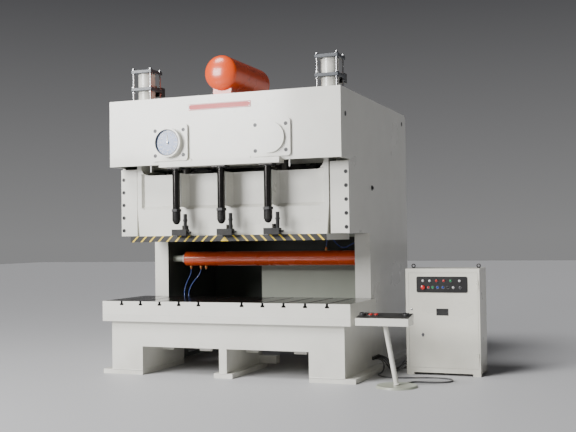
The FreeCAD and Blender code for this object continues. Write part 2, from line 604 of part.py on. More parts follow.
hub = "shaft_radius + flywheel_web"
wheel = [("0", "flywheel_radius - flywheel_rim"), ("0", "flywheel_radius"),
         ("flywheel_width", "flywheel_radius"), ("flywheel_width", "flywheel_radius - flywheel_rim"),
         ("(flywheel_width + flywheel_web) / 2", "flywheel_radius - flywheel_rim"),
         ("(flywheel_width + flywheel_web) / 2", hub), ("flywheel_width", hub),
         ("flywheel_width", "shaft_radius + running"), ("0", "shaft_radius + running"), ("0", hub),
         ("(flywheel_width - flywheel_web) / 2", hub),
         ("(flywheel_width - flywheel_web) / 2", "flywheel_radius - flywheel_rim")]
node("flywheel", turned("flywheel", wheel, PINION_X, y_at("flywheel_front"), "crank_height"))
CLUTCH = "(flywheel_front + flywheel_width + 2)"
node("clutch", tube("clutch", "clutch_radius", "shaft_radius", "clutch_width", PINION_X, y_at(CLUTCH),
                    "crank_height", ALONG_Y))

pulley = rod("pulley_rim", "pulley_radius", "flywheel_width", PINION_X, y_at("flywheel_front"),
             "motor_height", ALONG_Y)
spindle = rod("motor_spindle", "motor_shaft", "motor_front - flywheel_front + motor_length / 2", PINION_X,
              y_at("flywheel_front"), "motor_height", ALONG_Y)
node("motor_pulley", fuse("motor_pulley", [pulley, spindle]))
shell = rod("motor_shell", "motor_radius", "motor_length", PINION_X, y_at("motor_front"), "motor_height",
            ALONG_Y)
feet = block("motor_feet", PINION_X + " - motor_radius", y_at("motor_front + motor_length / 6"),
             "motor_height - motor_radius - plate / 2", "2 * motor_radius", "motor_length * 2 / 3",
             "motor_radius")
box = block("motor_box", PINION_X + " + motor_radius * 0.6", y_at("motor_front + motor_length / 4"),
            "motor_height", "motor_radius * 0.7", "motor_length / 3", "motor_radius * 0.7")
table = block("motor_table", "-" + UPRIGHT_INNER, y_at("motor_front"),
              "motor_height - motor_radius - plate * 1.5", "2 * " + UPRIGHT_INNER,
              "web_depth + throat_front + plate - motor_front", "plate")
room = rod("motor_bore", "motor_shaft + running", "motor_length / 2", PINION_X, y_at("motor_front"),
           "motor_height", ALONG_Y)
node("motor", group("motor", [cut("motor_body", fuse("motor_casting", [shell, feet, box]), room), table]))


def belt(i):
    """One V-belt: two wraps and the straight runs between them."""
    low, high = value("motor_height"), value("crank_height")
    inner_small = value("pulley_radius + belt_gap")
    inner_big = value("flywheel_radius + belt_gap")
    lean = math.asin((inner_big - inner_small) / (high - low))

    def loop(extra):
        small, big = inner_small + extra, inner_big + extra
        across, up = math.cos(lean), math.sin(lean)
        down_left, down_right = Vector(-small * across, 0, low - small * up), \
            Vector(small * across, 0, low - small * up)
        up_left, up_right = Vector(-big * across, 0, high - big * up), Vector(big * across, 0, high - big * up)
        return Part.Face(Part.Wire([
            Part.LineSegment(down_left, up_left).toShape(),
            Part.Arc(up_left, Vector(0, 0, high + big), up_right).toShape(),
            Part.LineSegment(up_right, down_right).toShape(),
            Part.Arc(down_right, Vector(0, 0, low - small), down_left).toShape()]))

    ring = loop(value("belt_thick")).cut(loop(0))
    item = solid("belt_%d" % i, ring.extrude(Vector(0, value("belt_width"), 0)))
    start = "flywheel_front + (flywheel_width - (belt_count - 1) * belt_pitch - belt_width) / 2"
    return place(item, PINION_X, y_at("%s + %d * belt_pitch" % (start, i)), "0")


node("drive_belts", group("drive_belts", [belt(i) for i in range(int(value("belt_count")))]))


# ---- connecting rods ---------------------------------------------------------------------------------

for side, sign in SIDES:
    big_end = rod("rod_big_end_" + side, "pin_radius + rod_end_wall", "rod_width", sign + CRANK,
                  y_at(PIN_START + " + (pin_length - rod_width) / 2"), PIN_HEIGHT, ALONG_Y)
    middle_y = y_at(PIN_START + " + pin_length / 2")
    shank = rod("rod_shank_" + side, "rod_shank", "rod_length / 2", sign + CRANK, middle_y,
                PIN_HEIGHT + " - rod_length / 2 - pin_radius")
    screw = rod("rod_screw_" + side, "ball_screw", "rod_length / 2", sign + CRANK, middle_y, BALL_HEIGHT)
    end = ball("rod_ball_" + side, "ball_radius", sign + CRANK, middle_y, BALL_HEIGHT)
    eye = rod("rod_eye_" + side, "pin_radius + running", "rod_width", sign + CRANK,
              y_at(PIN_START + " + (pin_length - rod_width) / 2"), PIN_HEIGHT, ALONG_Y)
    node("connecting_rod_" + side, cut("connecting_rod_" + side,
                                       fuse("rod_forging_" + side, [big_end, shank, screw, end]), eye))


# ---- slide -------------------------------------------------------------------------------------------

slide_points = [
    ("-slide_low_half", "flange_top"), ("slide_low_half", "flange_top"), ("slide_half", "slide_taper_top"),
    ("slide_half", "ear_top"), ("ear_inner", "ear_top"), ("ear_inner", "slide_top"),
    ("-ear_inner", "slide_top"), ("-ear_inner", "ear_top"), ("-slide_half", "ear_top"),
    ("-slide_half", "slide_taper_top"),
]
SLIDE_DEEP = "(slide_back - slide_front)"
front_blank = profile_plate("slide_front_blank", "XZ_Plane", slide_points, "slide_wall",
                            y=y_at("slide_front"))
front_wall = round_edges("slide_front_wall", front_blank, value("ear_round"),
                         lambda edge: abs(edge.Length - value("slide_wall")) < 0.01
                         and abs(abs(edge.CenterOfMass.x) - value("ear_inner")) < 1
                         and abs(edge.CenterOfMass.z - value("slide_top")) < 1)


def panel_cut(i, left, right):
    """Recess with sloping sides in the slide's front, between two fins or a fin and an end."""
    front, depth = value(FRONT + " + slide_front"), value("panel_depth")
    low, high = value("panel_bottom"), value("panel_top")
    left, right = value(left), value(right)

    def rim(y, left, right, low, high):
        corners = [(left, low), (right, low), (right, high), (left, high), (left, low)]
        return Part.makePolygon([Vector(x, y, z) for x, z in corners])

    near = rim(front - 1, left, right, low - depth, high)
    far = rim(front + depth, left + depth / 2, right - depth / 2, low, high - depth / 4)
    return solid("panel_cut_%d" % i, Part.makeLoft([near, far], True, True))


fin_at = ["-knock_pitch", "0", "knock_pitch"]
panel_edges = ["-ear_inner"] + fin_at + ["ear_inner"]
recesses = []
for i in range(4):
    left = panel_edges[i] + (" + fin_half" if i > 0 else "")
    right = panel_edges[i + 1] + (" - fin_half" if i < 3 else "")
    recesses.append(panel_cut(i, left, right))
slide_parts = [
    cut("slide_front_plate", front_wall, recesses),
    block("slide_back_plate", "-slide_half", y_at("slide_back - slide_wall"), "slide_taper_top",
          "2 * slide_half", "slide_wall", "slide_top - slide_taper_top"),
    block("slide_back_low", "-slide_low_half", y_at("slide_back - slide_wall"), "flange_top",
          "2 * slide_low_half", "slide_wall", "slide_taper_top - flange_top"),
    block("slide_roof", "-slide_half", y_at("slide_front + slide_wall"), "slide_top - slide_wall",
          "2 * slide_half", SLIDE_DEEP + " - slide_wall", "slide_wall"),
]
for i, across in enumerate(fin_at):
    slide_parts.append(block("slide_fin_%d" % i, across + " - fin_half", y_at("fin_front"), "slide_taper_top",
                             "2 * fin_half", "slide_front - fin_front + slide_wall",
                             "slide_top - slide_taper_top"))
for side, sign in SIDES:
    slide_parts += [
        block("slide_end_" + side, mirrored_x(sign, "slide_half - slide_wall", "slide_wall"),
              y_at("slide_front"), "slide_taper_top", "slide_wall", SLIDE_DEEP,
              "slide_top - slide_taper_top"),
        block("slide_end_low_" + side, mirrored_x(sign, "slide_low_half - slide_wall", "slide_wall"),
              y_at("slide_front"), "flange_top", "slide_wall", SLIDE_DEEP, "slide_taper_top - flange_top"),
        block("slide_ear_" + side, mirrored_x(sign, "ear_inner", "slide_half - ear_inner"),
              y_at("slide_front"), "slide_top", "slide_half - ear_inner", "ear_cut", "ear_top - slide_top"),
        block("ball_seat_" + side, "%s%s - ball_radius * 1.5" % (sign, CRANK),
              y_at("slide_front + slide_wall"), BALL_HEIGHT + " - ball_radius - seat_gap - slide_wall",
              "ball_radius * 3", "slide_back - slide_front - 2 * slide_wall", "slide_wall"),
    ]
NOTCH_LOW = "(crank_height - gear_module * (gear_teeth + 2) / 2 - notch_gap)"
WELL = "(2 * rod_shank + throw + 4 * seat_gap)"
slide_cuts = []
for side, sign in SIDES:
    start = "-%s - rod_shank - 2 * seat_gap" % CRANK if side == "left" \
        else "%s + rod_shank + 2 * seat_gap - %s" % (CRANK, WELL)
    slide_cuts.append(block("rod_well_" + side, start, y_at("slide_front + slide_wall"),
                            "slide_top - slide_wall", WELL,
                            "slide_back - slide_front - 3 * slide_wall", "slide_wall"))
for side, sign in SIDES:
    slide_cuts.append(block("gear_notch_" + side, "%s%s - notch_half" % (sign, CRANK),
                            y_at("gear_front - notch_gap"), NOTCH_LOW, "2 * notch_half",
                            "slide_back - gear_front + notch_gap", "slide_top - " + NOTCH_LOW))
for i, across in enumerate(fin_at):
    slide_cuts.append(block("bar_slot_%d" % i, across + " - bar_half - bar_gap", y_at("slide_front"),
                            "flange_top", "2 * (bar_half + bar_gap)", SLIDE_DEEP,
                            "bar_tall + bar_travel + 3 * bar_gap"))
node("slide_body", cut("slide_body", fuse("slide_weldment", slide_parts), slide_cuts))
node("slide_flange", block("slide_flange", "-flange_half", y_at("flange_front"), "flange_bottom",
                           "2 * flange_half", "flange_back - flange_front", "flange_top - flange_bottom"))

for name, across in zip(("left", "centre", "right"), fin_at):
    tag = "bar_" + name
    pieces = [
        block(tag + "_main", across + " - bar_half", y_at("-bar_lead"), BAR_LOW, "2 * bar_half",
              "bar_back + bar_lead", "bar_tall"),
        block(tag + "_lug", across + " - bar_half", y_at("-bar_lead"), BAR_LOW, "bar_half + bar_lug",
              "bar_lug_back + bar_lead", "bar_tall"),
        rod(tag + "_stud", "stud_radius", "stud_top - flange_top - bar_tall / 2", across + " + stud_offset",
            y_at("stop_setback"), BAR_LOW + " + bar_tall / 2"),
        rod(tag + "_collar", "stud_radius * 1.25", "stud_radius", across + " + stud_offset",
            y_at("stop_setback"), "stud_top - 4 * stud_radius"),
        rod(tag + "_knob", "knob_radius", "knob_length", across + " + bar_lug", y_at("stop_setback"),
            BAR_LOW + " + bar_tall / 2", ALONG_X),
    ]
    node("knockout_bar_" + name, fuse("knockout_bar_" + name, pieces))

beam = fuse("knockout_beam", [
    block("beam_front", "-beam_half", y_at("-beam_lead"), "beam_bottom", "2 * beam_half", "beam_lead",
          "beam_top - beam_bottom"),
    block("beam_under", "-beam_half", FRONT, "beam_bottom", "2 * beam_half", "beam_back",
          "crown_bottom - beam_bottom")])
node("knockout_beam", beam)
stops = []
for i, across in enumerate(fin_at):
    at = (across, y_at("stop_setback"))
    stops.append(fuse("stop_rod_%d" % i, [
        rod("stop_bar_%d" % i, "stop_radius", "beam_bottom - stop_bottom - stop_radius", at[0], at[1],
            "stop_bottom + stop_radius"),
        rod("stop_nut_%d" % i, "stop_radius * 1.12", "stop_thread - stop_radius", at[0], at[1],
            "stop_bottom + stop_radius"),
        ball("stop_tip_%d" % i, "stop_radius", at[0], at[1], "stop_bottom + stop_radius"),
        block("stop_flange_%d" % i, across + " - stop_flange", y_at("stop_setback - beam_lead"),
              "beam_bottom - stop_flange_thick", "2 * stop_flange", "1.8 * beam_lead", "stop_flange_thick")]))
node("stop_rods", group("stop_rods", stops))


# ---- air system --------------------------------------------------------------------------------------

pistons = []
for side, sign in SIDES:
    x, y = sign + "balancer_offset", y_at("balancer_setback")
    tag = "balancer_" + side
    pieces = [
        tube(tag + "_low_barrel", "barrel_radius", "barrel_radius - barrel_wall",
             "balancer_middle - balancer_base", x, y, "balancer_base"),
        tube(tag + "_high_barrel", "barrel_radius", "barrel_radius - barrel_wall",
             "balancer_top - balancer_middle - 2 * end_thick", x, y, "balancer_middle + end_thick"),
        tube(tag + "_gland", "barrel_radius", "piston_rod + running", "end_thick / 2", x, y,
             "balancer_base - end_thick / 2"),
    ]
    for spot, low in (("middle", "balancer_middle"), ("top", "balancer_top - end_thick")):
        pieces.append(block("%s_%s_plate" % (tag, spot), x + " - end_half", y + " - end_half", low,
                            "2 * end_half", "2 * end_half", "end_thick"))
    pieces.append(block(tag + "_valve", x + " - valve_wide / 2", y + " + end_half",
                        "balancer_middle - valve_wide / 2", "valve_wide * 2", "valve_wide",
                        "valve_wide * 1.3"))
    for i, (across, back) in enumerate(((-1, -1), (1, -1), (-1, 1), (1, 1))):
        tie_x, tie_y = x + " + %d * tie_offset" % across, y + " + %d * tie_offset" % back
        pieces.append(rod("%s_tie_%d" % (tag, i), "tie_radius",
                          "balancer_top + tie_nut_tall * 1.3 - crown_top", tie_x, tie_y, "crown_top"))
        for spot, height in (("top", "balancer_top"), ("middle", "balancer_middle - tie_nut_tall")):
            pieces.append(rod("%s_nut_%s_%d" % (tag, spot, i), "tie_nut", "tie_nut_tall", tie_x, tie_y,
                              height))
    node(tag, fuse(tag, pieces))
    pistons.append(fuse("piston_" + side, [
        rod("piston_head_" + side, "barrel_radius - barrel_wall - running", "piston_tall", x, y,
            "balancer_middle - piston_tall - end_thick"),
        rod("piston_rod_" + side, "piston_rod", "balancer_middle - end_thick - ear_top - piston_tall / 2",
            x, y, "ear_top")]))
node("balancer_pistons", group("balancer_pistons", pistons))


def vessel(name, radius, start, long, dish, x, y, z, turn, along):
    """Cylinder with dished ends."""
    body = rod(name + "_shell", radius, long, x, y, z, turn)
    ends = []
    for i, far in enumerate(("0", long)):
        cap = doc.addObject("Part::Ellipsoid", "%s_end_%d" % (name, i))
        cap.setExpression("Radius1", bound(dish))
        cap.setExpression("Radius2", bound(radius))
        cap.setExpression("Radius3", bound(radius))
        spot = [x, y, z]
        spot[along] += " + " + far
        ends.append(place(cap, *spot, turn=turn))
    return [body] + ends


tank = vessel("top_tank", "tank_radius", "0", "tank_back - tank_front - 2 * tank_dish", "tank_dish",
              "-tank_offset", y_at("tank_front + tank_dish"), "tank_height", ALONG_Y, 1)
for spot, back in (("front", "tank_front + tank_dish * 1.2"), ("rear", "tank_back - tank_dish * 1.9")):
    tank.append(block("tank_saddle_" + spot, "-tank_offset - saddle_wide / 2", y_at(back), "crown_top",
                      "saddle_wide", "saddle_thick", "tank_height - crown_top"))
node("top_air_tank", fuse("top_air_tank", tank))

pipe = [
    rod("pipe_shell", "pipe_radius", "pipe_left + pipe_right", "-pipe_left", y_at("pipe_setback"),
        "pipe_height", ALONG_X),
    rod("pipe_stub_left", "pipe_stub", UPRIGHT_INNER + " - pipe_left", "-" + UPRIGHT_INNER,
        y_at("pipe_setback"), "pipe_height", ALONG_X),
    rod("pipe_stub_right", "pipe_stub", UPRIGHT_INNER + " - pipe_right", "pipe_right",
        y_at("pipe_setback"), "pipe_height", ALONG_X),
]
FITTINGS = (("a", "-pipe_left + 4 * fitting_radius"), ("b", "-pipe_left + 13 * fitting_radius"),
            ("c", "-pipe_left + 18 * fitting_radius"))
for tag, x in FITTINGS:
    pipe.append(rod("pipe_fitting_" + tag, "fitting_radius", "pipe_radius / 2 + fitting_drop", x,
                    y_at("pipe_setback"), "pipe_height - pipe_radius - fitting_drop"))
pipe.append(rod("pipe_fitting_top", "fitting_radius", "pipe_radius / 2 + fitting_drop",
                "pipe_right - 26 * fitting_radius", y_at("pipe_setback"), "pipe_height + pipe_radius / 2"))
node("throat_air_tank", fuse("throat_air_tank", pipe))


def cord(name, points, radius):
    """Round tube along straight runs joined by tangent arcs, each as large as its runs allow."""
    points = [Vector(*p) for p in points]
    edges, radii, here, length = [], [], points[0], 0.0
    for before, corner, after in zip(points, points[1:], points[2:]):
        back, ahead = before - corner, after - corner
        half_turn = (math.pi - back.getAngle(ahead)) / 2
        shorter = min(back.Length, ahead.Length)
        reach = 0.45 * shorter
        bend = reach / math.tan(half_turn)
        radii.append(round(bend))
        start = corner + Vector(back).normalize() * reach
        stop = corner + Vector(ahead).normalize() * reach
        bisector = (Vector(back).normalize() + Vector(ahead).normalize()).normalize()
        middle = corner + bisector * (bend / math.cos(half_turn) - bend)
        edges += [Part.LineSegment(here, start).toShape(), Part.Arc(start, middle, stop).toShape()]
        length += (start - here).Length + 2 * bend * half_turn
        here = stop
    edges.append(Part.LineSegment(here, points[-1]).toShape())
    length += (points[-1] - here).Length
    ring = Part.Wire(Part.Circle(points[0], points[1] - points[0], radius).toShape())
    shape = Part.Wire(edges).makePipeShell([ring], True, True)
    drift = shape.Volume / (math.pi * radius ** 2 * length) - 1
    if abs(drift) > 0.01:
        raise RuntimeError("tube volume off: " + name)
    print("%s: %.0f mm long, radii %s" % (name, length, radii))
    return solid(name, shape)


# Hoses clipped between the throat tank and the frame: points as (across, setback, height).
HOSES = {
    "hose_a": [(-1051, 1280, 1255.4), (-1051, 1280, 1190), (-1085, 1255, 1110), (-1105, 1205, 1020),
               (-1100, 1160, 930), (-1082, 1150, 850), (-1080, 1150, 765.4)],
    "hose_b": [(-907, 1280, 1255.4), (-909, 1279, 1190), (-975, 1262, 1115), (-1030, 1225, 1030),
               (-1045, 1180, 940), (-1026, 1153, 850), (-1020, 1150, 765.7)],
    "hose_c": [(874, 1280, 1514.6), (876, 1278, 1582), (916, 1245, 1640), (988, 1210, 1628),
               (1046, 1188, 1562), (1110, 1174, 1516), (1182, 1170, 1520), (1244, 1176, 1562),
               (1305.4, 1180, 1584)],
}
front_y = value(FRONT)
hoses = [cord(name, [(x, front_y + back, z) for x, back, z in points], value("hose_radius"))
         for name, points in HOSES.items()]
node("air_hoses", group("air_hoses", hoses))


# ---- cabinet -----------------------------------------------------------------------------------------

CAB_FRONT = y_at("cabinet_front")
DOOR_X = "(cabinet_left + door_left)"
DOOR_WIDE = "(cabinet_wide - door_left - door_right)"
DOOR_TALL = "(cabinet_tall - door_high - door_low)"
outer = block("cabinet_outer", "cabinet_left", CAB_FRONT, "cabinet_foot", "cabinet_wide", "cabinet_deep",
              "cabinet_tall - cabinet_foot")
hollow = block("cabinet_hollow", "cabinet_left + cabinet_skin", CAB_FRONT + " + door_thick",
               "cabinet_foot + cabinet_skin", "cabinet_wide - 2 * cabinet_skin",
               "cabinet_deep - cabinet_skin - door_thick",
               "cabinet_tall - cabinet_foot - 2 * cabinet_skin")
doorway = block("cabinet_doorway", DOOR_X + " - door_gap", CAB_FRONT, "door_low - door_gap",
                DOOR_WIDE + " + 2 * door_gap", "door_thick", DOOR_TALL + " + 2 * door_gap")
cabinet = [cut("cabinet_shell", outer, [hollow, doorway])]
cabinet.append(block("cabinet_back_plate", "cabinet_left + 4 * plate", CAB_FRONT
                     + " + cabinet_deep - cabinet_skin - sheet", "cabinet_foot + 4 * plate",
                     "cabinet_wide - 8 * plate", "sheet", "cabinet_tall - cabinet_foot - 8 * plate"))
for i, across in enumerate(("cabinet_left", "cabinet_left + cabinet_wide - cabinet_foot_wide")):
    for spot, back in (("front", "0"), ("rear", "cabinet_deep - cabinet_foot_wide")):
        cabinet.append(block("cabinet_foot_%s_%d" % (spot, i), across, CAB_FRONT + " + " + back, "0",
                             "cabinet_foot_wide", "cabinet_foot_wide", "cabinet_foot"))
    ring = doc.addObject("Part::Torus", "lifting_ring_%d" % i)
    ring.setExpression("Radius1", bound("eye_radius"))
    ring.setExpression("Radius2", bound("eye_wire"))
    eye_x = across + " + cabinet_foot_wide / 2"
    eye_y = CAB_FRONT + " + cabinet_deep / 2"
    cabinet += [place(ring, eye_x, eye_y, "cabinet_tall + eye_radius + eye_wire", turn=ALONG_Y),
                rod("lifting_boss_%d" % i, "eye_wire * 2", "eye_wire * 2.5", eye_x, eye_y,
                    "cabinet_tall - eye_wire")]
HINGES = ("door_low + hinge_long", "cabinet_tall - door_high - 2 * hinge_long")
HINGE_X = "(cabinet_left + door_left + %s)" % DOOR_WIDE
HINGE_Y = CAB_FRONT + " - hinge_radius"
for i, low in enumerate(HINGES):
    cabinet += [rod("hinge_pin_%d" % i, "hinge_radius / 2", "hinge_long", HINGE_X, HINGE_Y, low),
                rod("hinge_knuckle_%d" % i, "hinge_radius", "hinge_long / 2", HINGE_X, HINGE_Y, low),
                block("hinge_leaf_%d" % i, HINGE_X, HINGE_Y, low, "door_right", "hinge_radius",
                      "hinge_long / 2")]
CABLES_IN = ((1090, 66), (1150, 112), (1210, 158))
for i, (back, height) in enumerate(CABLES_IN):
    cabinet.append(rod("cabinet_gland_%d" % i, "gland_radius", "gland_long", "cabinet_left - gland_long",
                       y_at(str(back)), str(height), ALONG_X))
node("cabinet_body", fuse("cabinet_body", cabinet))

DOOR_STEM = "(stem_radius + stem_gap)"
door = block("door_leaf", DOOR_X, CAB_FRONT, "door_low", DOOR_WIDE, "door_thick", DOOR_TALL)
lip = "3 * cabinet_skin"
tray = block("door_tray", DOOR_X + " + " + lip, CAB_FRONT + " + cabinet_skin", "door_low + " + lip,
             DOOR_WIDE + " - 2 * " + lip, "door_thick", DOOR_TALL + " - 2 * " + lip)
door_pieces = [cut("door_pan", door, tray)]
for i, low in enumerate(HINGES):
    door_pieces += [
        tube("door_knuckle_%d" % i, "hinge_radius", "hinge_radius / 2 + running",
             "hinge_long / 2 - hinge_gap", HINGE_X, HINGE_Y, low + " + hinge_long / 2 + hinge_gap"),
        block("door_leaf_%d" % i, HINGE_X + " - 3 * hinge_radius", HINGE_Y + " + 0.6 * hinge_radius",
              low + " + hinge_long / 2 + hinge_gap", "3 * hinge_radius", "0.4 * hinge_radius",
              "hinge_long / 2 - hinge_gap")]
panel_holes, door_holes = [], []
BUTTONS = {"panel_stop_button": (0.4, True), "panel_start_button": (2.4, False),
           "panel_inch_button": (3.4, False)}
SELECTOR_AT = 5.5
LAMPS_HIGH = (0.4, 1.8, 3.2, 4.7, 6.1, 7.9)
LAMPS_LOW = (1.5, 4.5, 6.6, 8)
PANEL_FACE = CAB_FRONT + " - panel_thick"


def panel_x(step):
    return "cabinet_left + panel_left + button_pitch * (1 + %s)" % step


LOWER_ROW = dict(BUTTONS, mode_selector=(SELECTOR_AT, False))
for name, (step, is_mushroom) in LOWER_ROW.items():
    for tag, holes, start, long in (("panel", panel_holes, PANEL_FACE, "panel_thick"),
                                    ("door", door_holes, CAB_FRONT, "door_thick")):
        holes.append(rod("%s_%s_hole" % (name, tag), DOOR_STEM, long, panel_x(step), start, "row_low",
                         ALONG_Y))
door_holes.append(rod("lock_hole", "lock_radius / 2 + running", "door_thick",
                      "cabinet_left + lock_offset", CAB_FRONT, "lock_height", ALONG_Y))
node("cabinet_door", cut("cabinet_door", fuse("door_pressing", door_pieces), door_holes))

panel_blank = block("panel_blank", "cabinet_left + panel_left", PANEL_FACE, "panel_low", "panel_wide",
                    "panel_thick", "panel_tall")
panel_plate = round_edges("panel_plate", panel_blank, value("panel_round"),
                          lambda edge: abs(edge.Length - value("panel_thick")) < 0.01)
panel_parts = [cut("panel_drilled", panel_plate, panel_holes)]
for i, step in enumerate(LAMPS_HIGH):
    panel_parts.append(rod("lamp_high_%d" % i, "lamp_radius", "lamp_tall", panel_x(step),
                           PANEL_FACE + " - lamp_tall", "row_high", ALONG_Y))
for i, step in enumerate(LAMPS_LOW):
    panel_parts.append(rod("lamp_low_%d" % i, "lamp_radius * 0.8", "lamp_tall / 2", panel_x(step),
                           PANEL_FACE + " - lamp_tall / 2", "row_low", ALONG_Y))
node("control_panel", group("control_panel", panel_parts))

for name, (step, is_mushroom) in BUTTONS.items():
    size = "mushroom" if is_mushroom else "button"
    cap = rod(name + "_cap", size + "_radius", size + "_tall - button_travel", panel_x(step),
              PANEL_FACE + " - %s_tall - 0.5" % size, "row_low", ALONG_Y)
    stem = rod(name + "_stem", "stem_radius", "button_tall + panel_thick + cabinet_skin", panel_x(step),
               PANEL_FACE + " - button_tall", "row_low", ALONG_Y)
    node(name, fuse(name, [cap, stem]))
dial_knob = rod("selector_knob", "button_radius", "button_tall", panel_x(SELECTOR_AT),
                PANEL_FACE + " - button_tall - 0.5", "row_low", ALONG_Y)
grip = block("selector_grip", panel_x(SELECTOR_AT) + " - button_radius / 4",
             PANEL_FACE + " - 1.6 * button_tall", "row_low - button_radius", "button_radius / 2",
             "button_tall", "2 * button_radius")
selector_stem = rod("selector_stem", "stem_radius", "button_tall + panel_thick + cabinet_skin",
                    panel_x(SELECTOR_AT), PANEL_FACE + " - button_tall", "row_low", ALONG_Y)
node("mode_selector", fuse("mode_selector", [dial_knob, grip, selector_stem]))
lock_x = "cabinet_left + lock_offset"
lock = [rod("lock_barrel", "lock_radius / 2", "door_thick + lock_radius", lock_x,
            CAB_FRONT + " - lock_radius", "lock_height", ALONG_Y),
        block("lock_wing", lock_x + " - lock_radius / 2", CAB_FRONT + " - lock_radius - 0.3",
              "lock_height - 2 * lock_radius", "lock_radius", "lock_radius", "4 * lock_radius")]
node("door_lock", fuse("door_lock", lock))


# ---- console -----------------------------------------------------------------------------------------

STAND_Y = y_at("-stand_setback")
LEG_LEAN = math.atan2(value("leg_top_offset - stand_offset"), value("console_low - base_thick"))
stand = [
    cone("console_base", "base_radius", "base_radius - base_thick / 2", "base_thick", "stand_offset",
         STAND_Y, "0"),
    rod("console_leg", "leg_radius", "(console_low - base_thick / 2) / %.9f" % math.cos(LEG_LEAN),
        "stand_offset", STAND_Y, "base_thick / 2", FreeCAD.Rotation(Vector(0, 1, 0), math.degrees(LEG_LEAN))),
]
stand.append(rod("console_gland", "cable_radius + 2", "gland_long * 1.4", "stand_offset + cable_end_offset",
                 y_at("cable_end_setback - gland_long * 1.4"), "base_thick / 2", ALONG_Y))
lid_cut = block("console_leg_trim", "leg_top_offset - 4 * leg_radius", STAND_Y + " - 2 * leg_radius",
                "console_low", "8 * leg_radius", "4 * leg_radius", "4 * leg_radius")
node("console_stand", cut("console_stand", fuse("console_stand_welded", stand), lid_cut))

CONSOLE_Y = y_at("-console_front")
side_points = [(CONSOLE_Y, "console_low"), (CONSOLE_Y + " + console_deep", "console_low"),
               (CONSOLE_Y + " + console_deep", "console_high + console_rise"), (CONSOLE_Y, "console_high")]
desk = profile_plate("console_desk", "YZ_Plane", side_points, "console_wide", x="console_left")
TILT = math.degrees(math.atan2(value("console_rise"), value("console_deep")))
DESK_TURN = FreeCAD.Rotation(Vector(1, 0, 0), TILT)
DESK_MIDDLE = (CONSOLE_Y + " + console_deep / 2", "console_high + console_rise / 2")
PALMS = {"run_button_left": 0.09, "stop_button": 0.24, "top_stop_button": 0.345, "run_button_right": 0.91}
NORMAL = DESK_TURN.multVec(Vector(0, 0, 1))


def on_desk(name, radius, tall, share, up):
    """Cylinder square to the sloping top, its foot `up` above it."""
    return rod(name, radius, tall, "console_left + console_wide * %s" % share,
               "%s + (%s) * %.9f" % (DESK_MIDDLE[0], up, NORMAL.y),
               "%s + (%s) * %.9f" % (DESK_MIDDLE[1], up, NORMAL.z), DESK_TURN)


wells, guards = [], []
for name, share in PALMS.items():
    wells.append(on_desk(name + "_well", "palm_stem + stem_gap", "palm_tall * 2", share, "-palm_tall"))
    if name.startswith("run"):
        guards.append(cut(name + "_guard",
                          on_desk(name + "_guard_rim", "guard_outer", "guard_tall", share, "-0.5"),
                          on_desk(name + "_guard_bore", "guard_inner", "guard_tall * 1.2", share, "-1")))
node("console_box", cut("console_box", fuse("console_shell", [desk] + guards), wells))
for name, share in PALMS.items():
    head = on_desk(name + "_head", "palm_radius", "palm_tall - palm_travel", share, "palm_travel + 1")
    stem = on_desk(name + "_stem", "palm_stem", "palm_tall", share, "-palm_travel - 3")
    node(name, fuse(name, [head, stem]))


# ---- floor cables ------------------------------------------------------------------------------------

# Each route starts at the press's right side plate and lies on the floor; points as (across, setback,
# height above the floor).
CABLES = {
    "power_cable_a": [(1534.1, 1210, 150), (1602, 1207, 146), (1660, 1186, 100), (1712, 1158, 32),
                      (1768, 1128, 10), (1826, 1106, 14), (1886, 1092, 52), (1957.1, 1090, 66)],
    "power_cable_b": [(1534.1, 1290, 150), (1602, 1288, 146), (1660, 1268, 100), (1710, 1240, 32),
                      (1766, 1202, 10), (1826, 1168, 32), (1888, 1152, 96), (1956.8, 1150, 112)],
    "power_cable_c": [(1534.1, 1370, 150), (1602, 1368, 146), (1660, 1347, 100), (1708, 1318, 36),
                      (1764, 1282, 14), (1826, 1247, 40), (1888, 1216, 126), (1955, 1210, 158)],
    "console_cable": [(1534.1, 1130, 150), (1606, 1127, 147), (1662, 1090, 112), (1684, 1018, 42),
                      (1682, 924, 10), (1670, 822, 10), (1690, 720, 10), (1760, 640, 10),
                      (1860, 592, 10), (1980, 590, 10), (2110, 625, 10), (2240, 672, 10),
                      (2370, 702, 10), (2490, 690, 10), (2580, 635, 10), (2622, 545, 10),
                      (2600, 445, 10), (2525, 376, 10), (2418, 348, 10), (2320, 354, 10),
                      (2244, 348, 10), (2188, 301, 10), (2172, 223, 12)],
}
for name, points in CABLES.items():
    route = [(x, front_y + back, z) for x, back, z in points]
    node(name, cord(name, route, value("cable_radius")))


# ---- output ----------------------------------------------------------------------------------------

doc.recompute()
for item in doc.Objects:
    if {"Invalid", "Error"} & set(item.State):
        raise RuntimeError("failed object: %s %s" % (item.Name, item.State))
for name, item in NODES.items():
    if item.Shape.isNull() or not item.Shape.isValid() or not item.Shape.Solids:
        raise RuntimeError("bad shape: " + name)
os.makedirs("parts", exist_ok=True)
for name, item in NODES.items():
    item.Shape.exportStep("parts/%s.step" % name)
print("%d nodes" % len(NODES))
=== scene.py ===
import json
import math

import bmesh
import bpy
from mathutils import Matrix, Vector


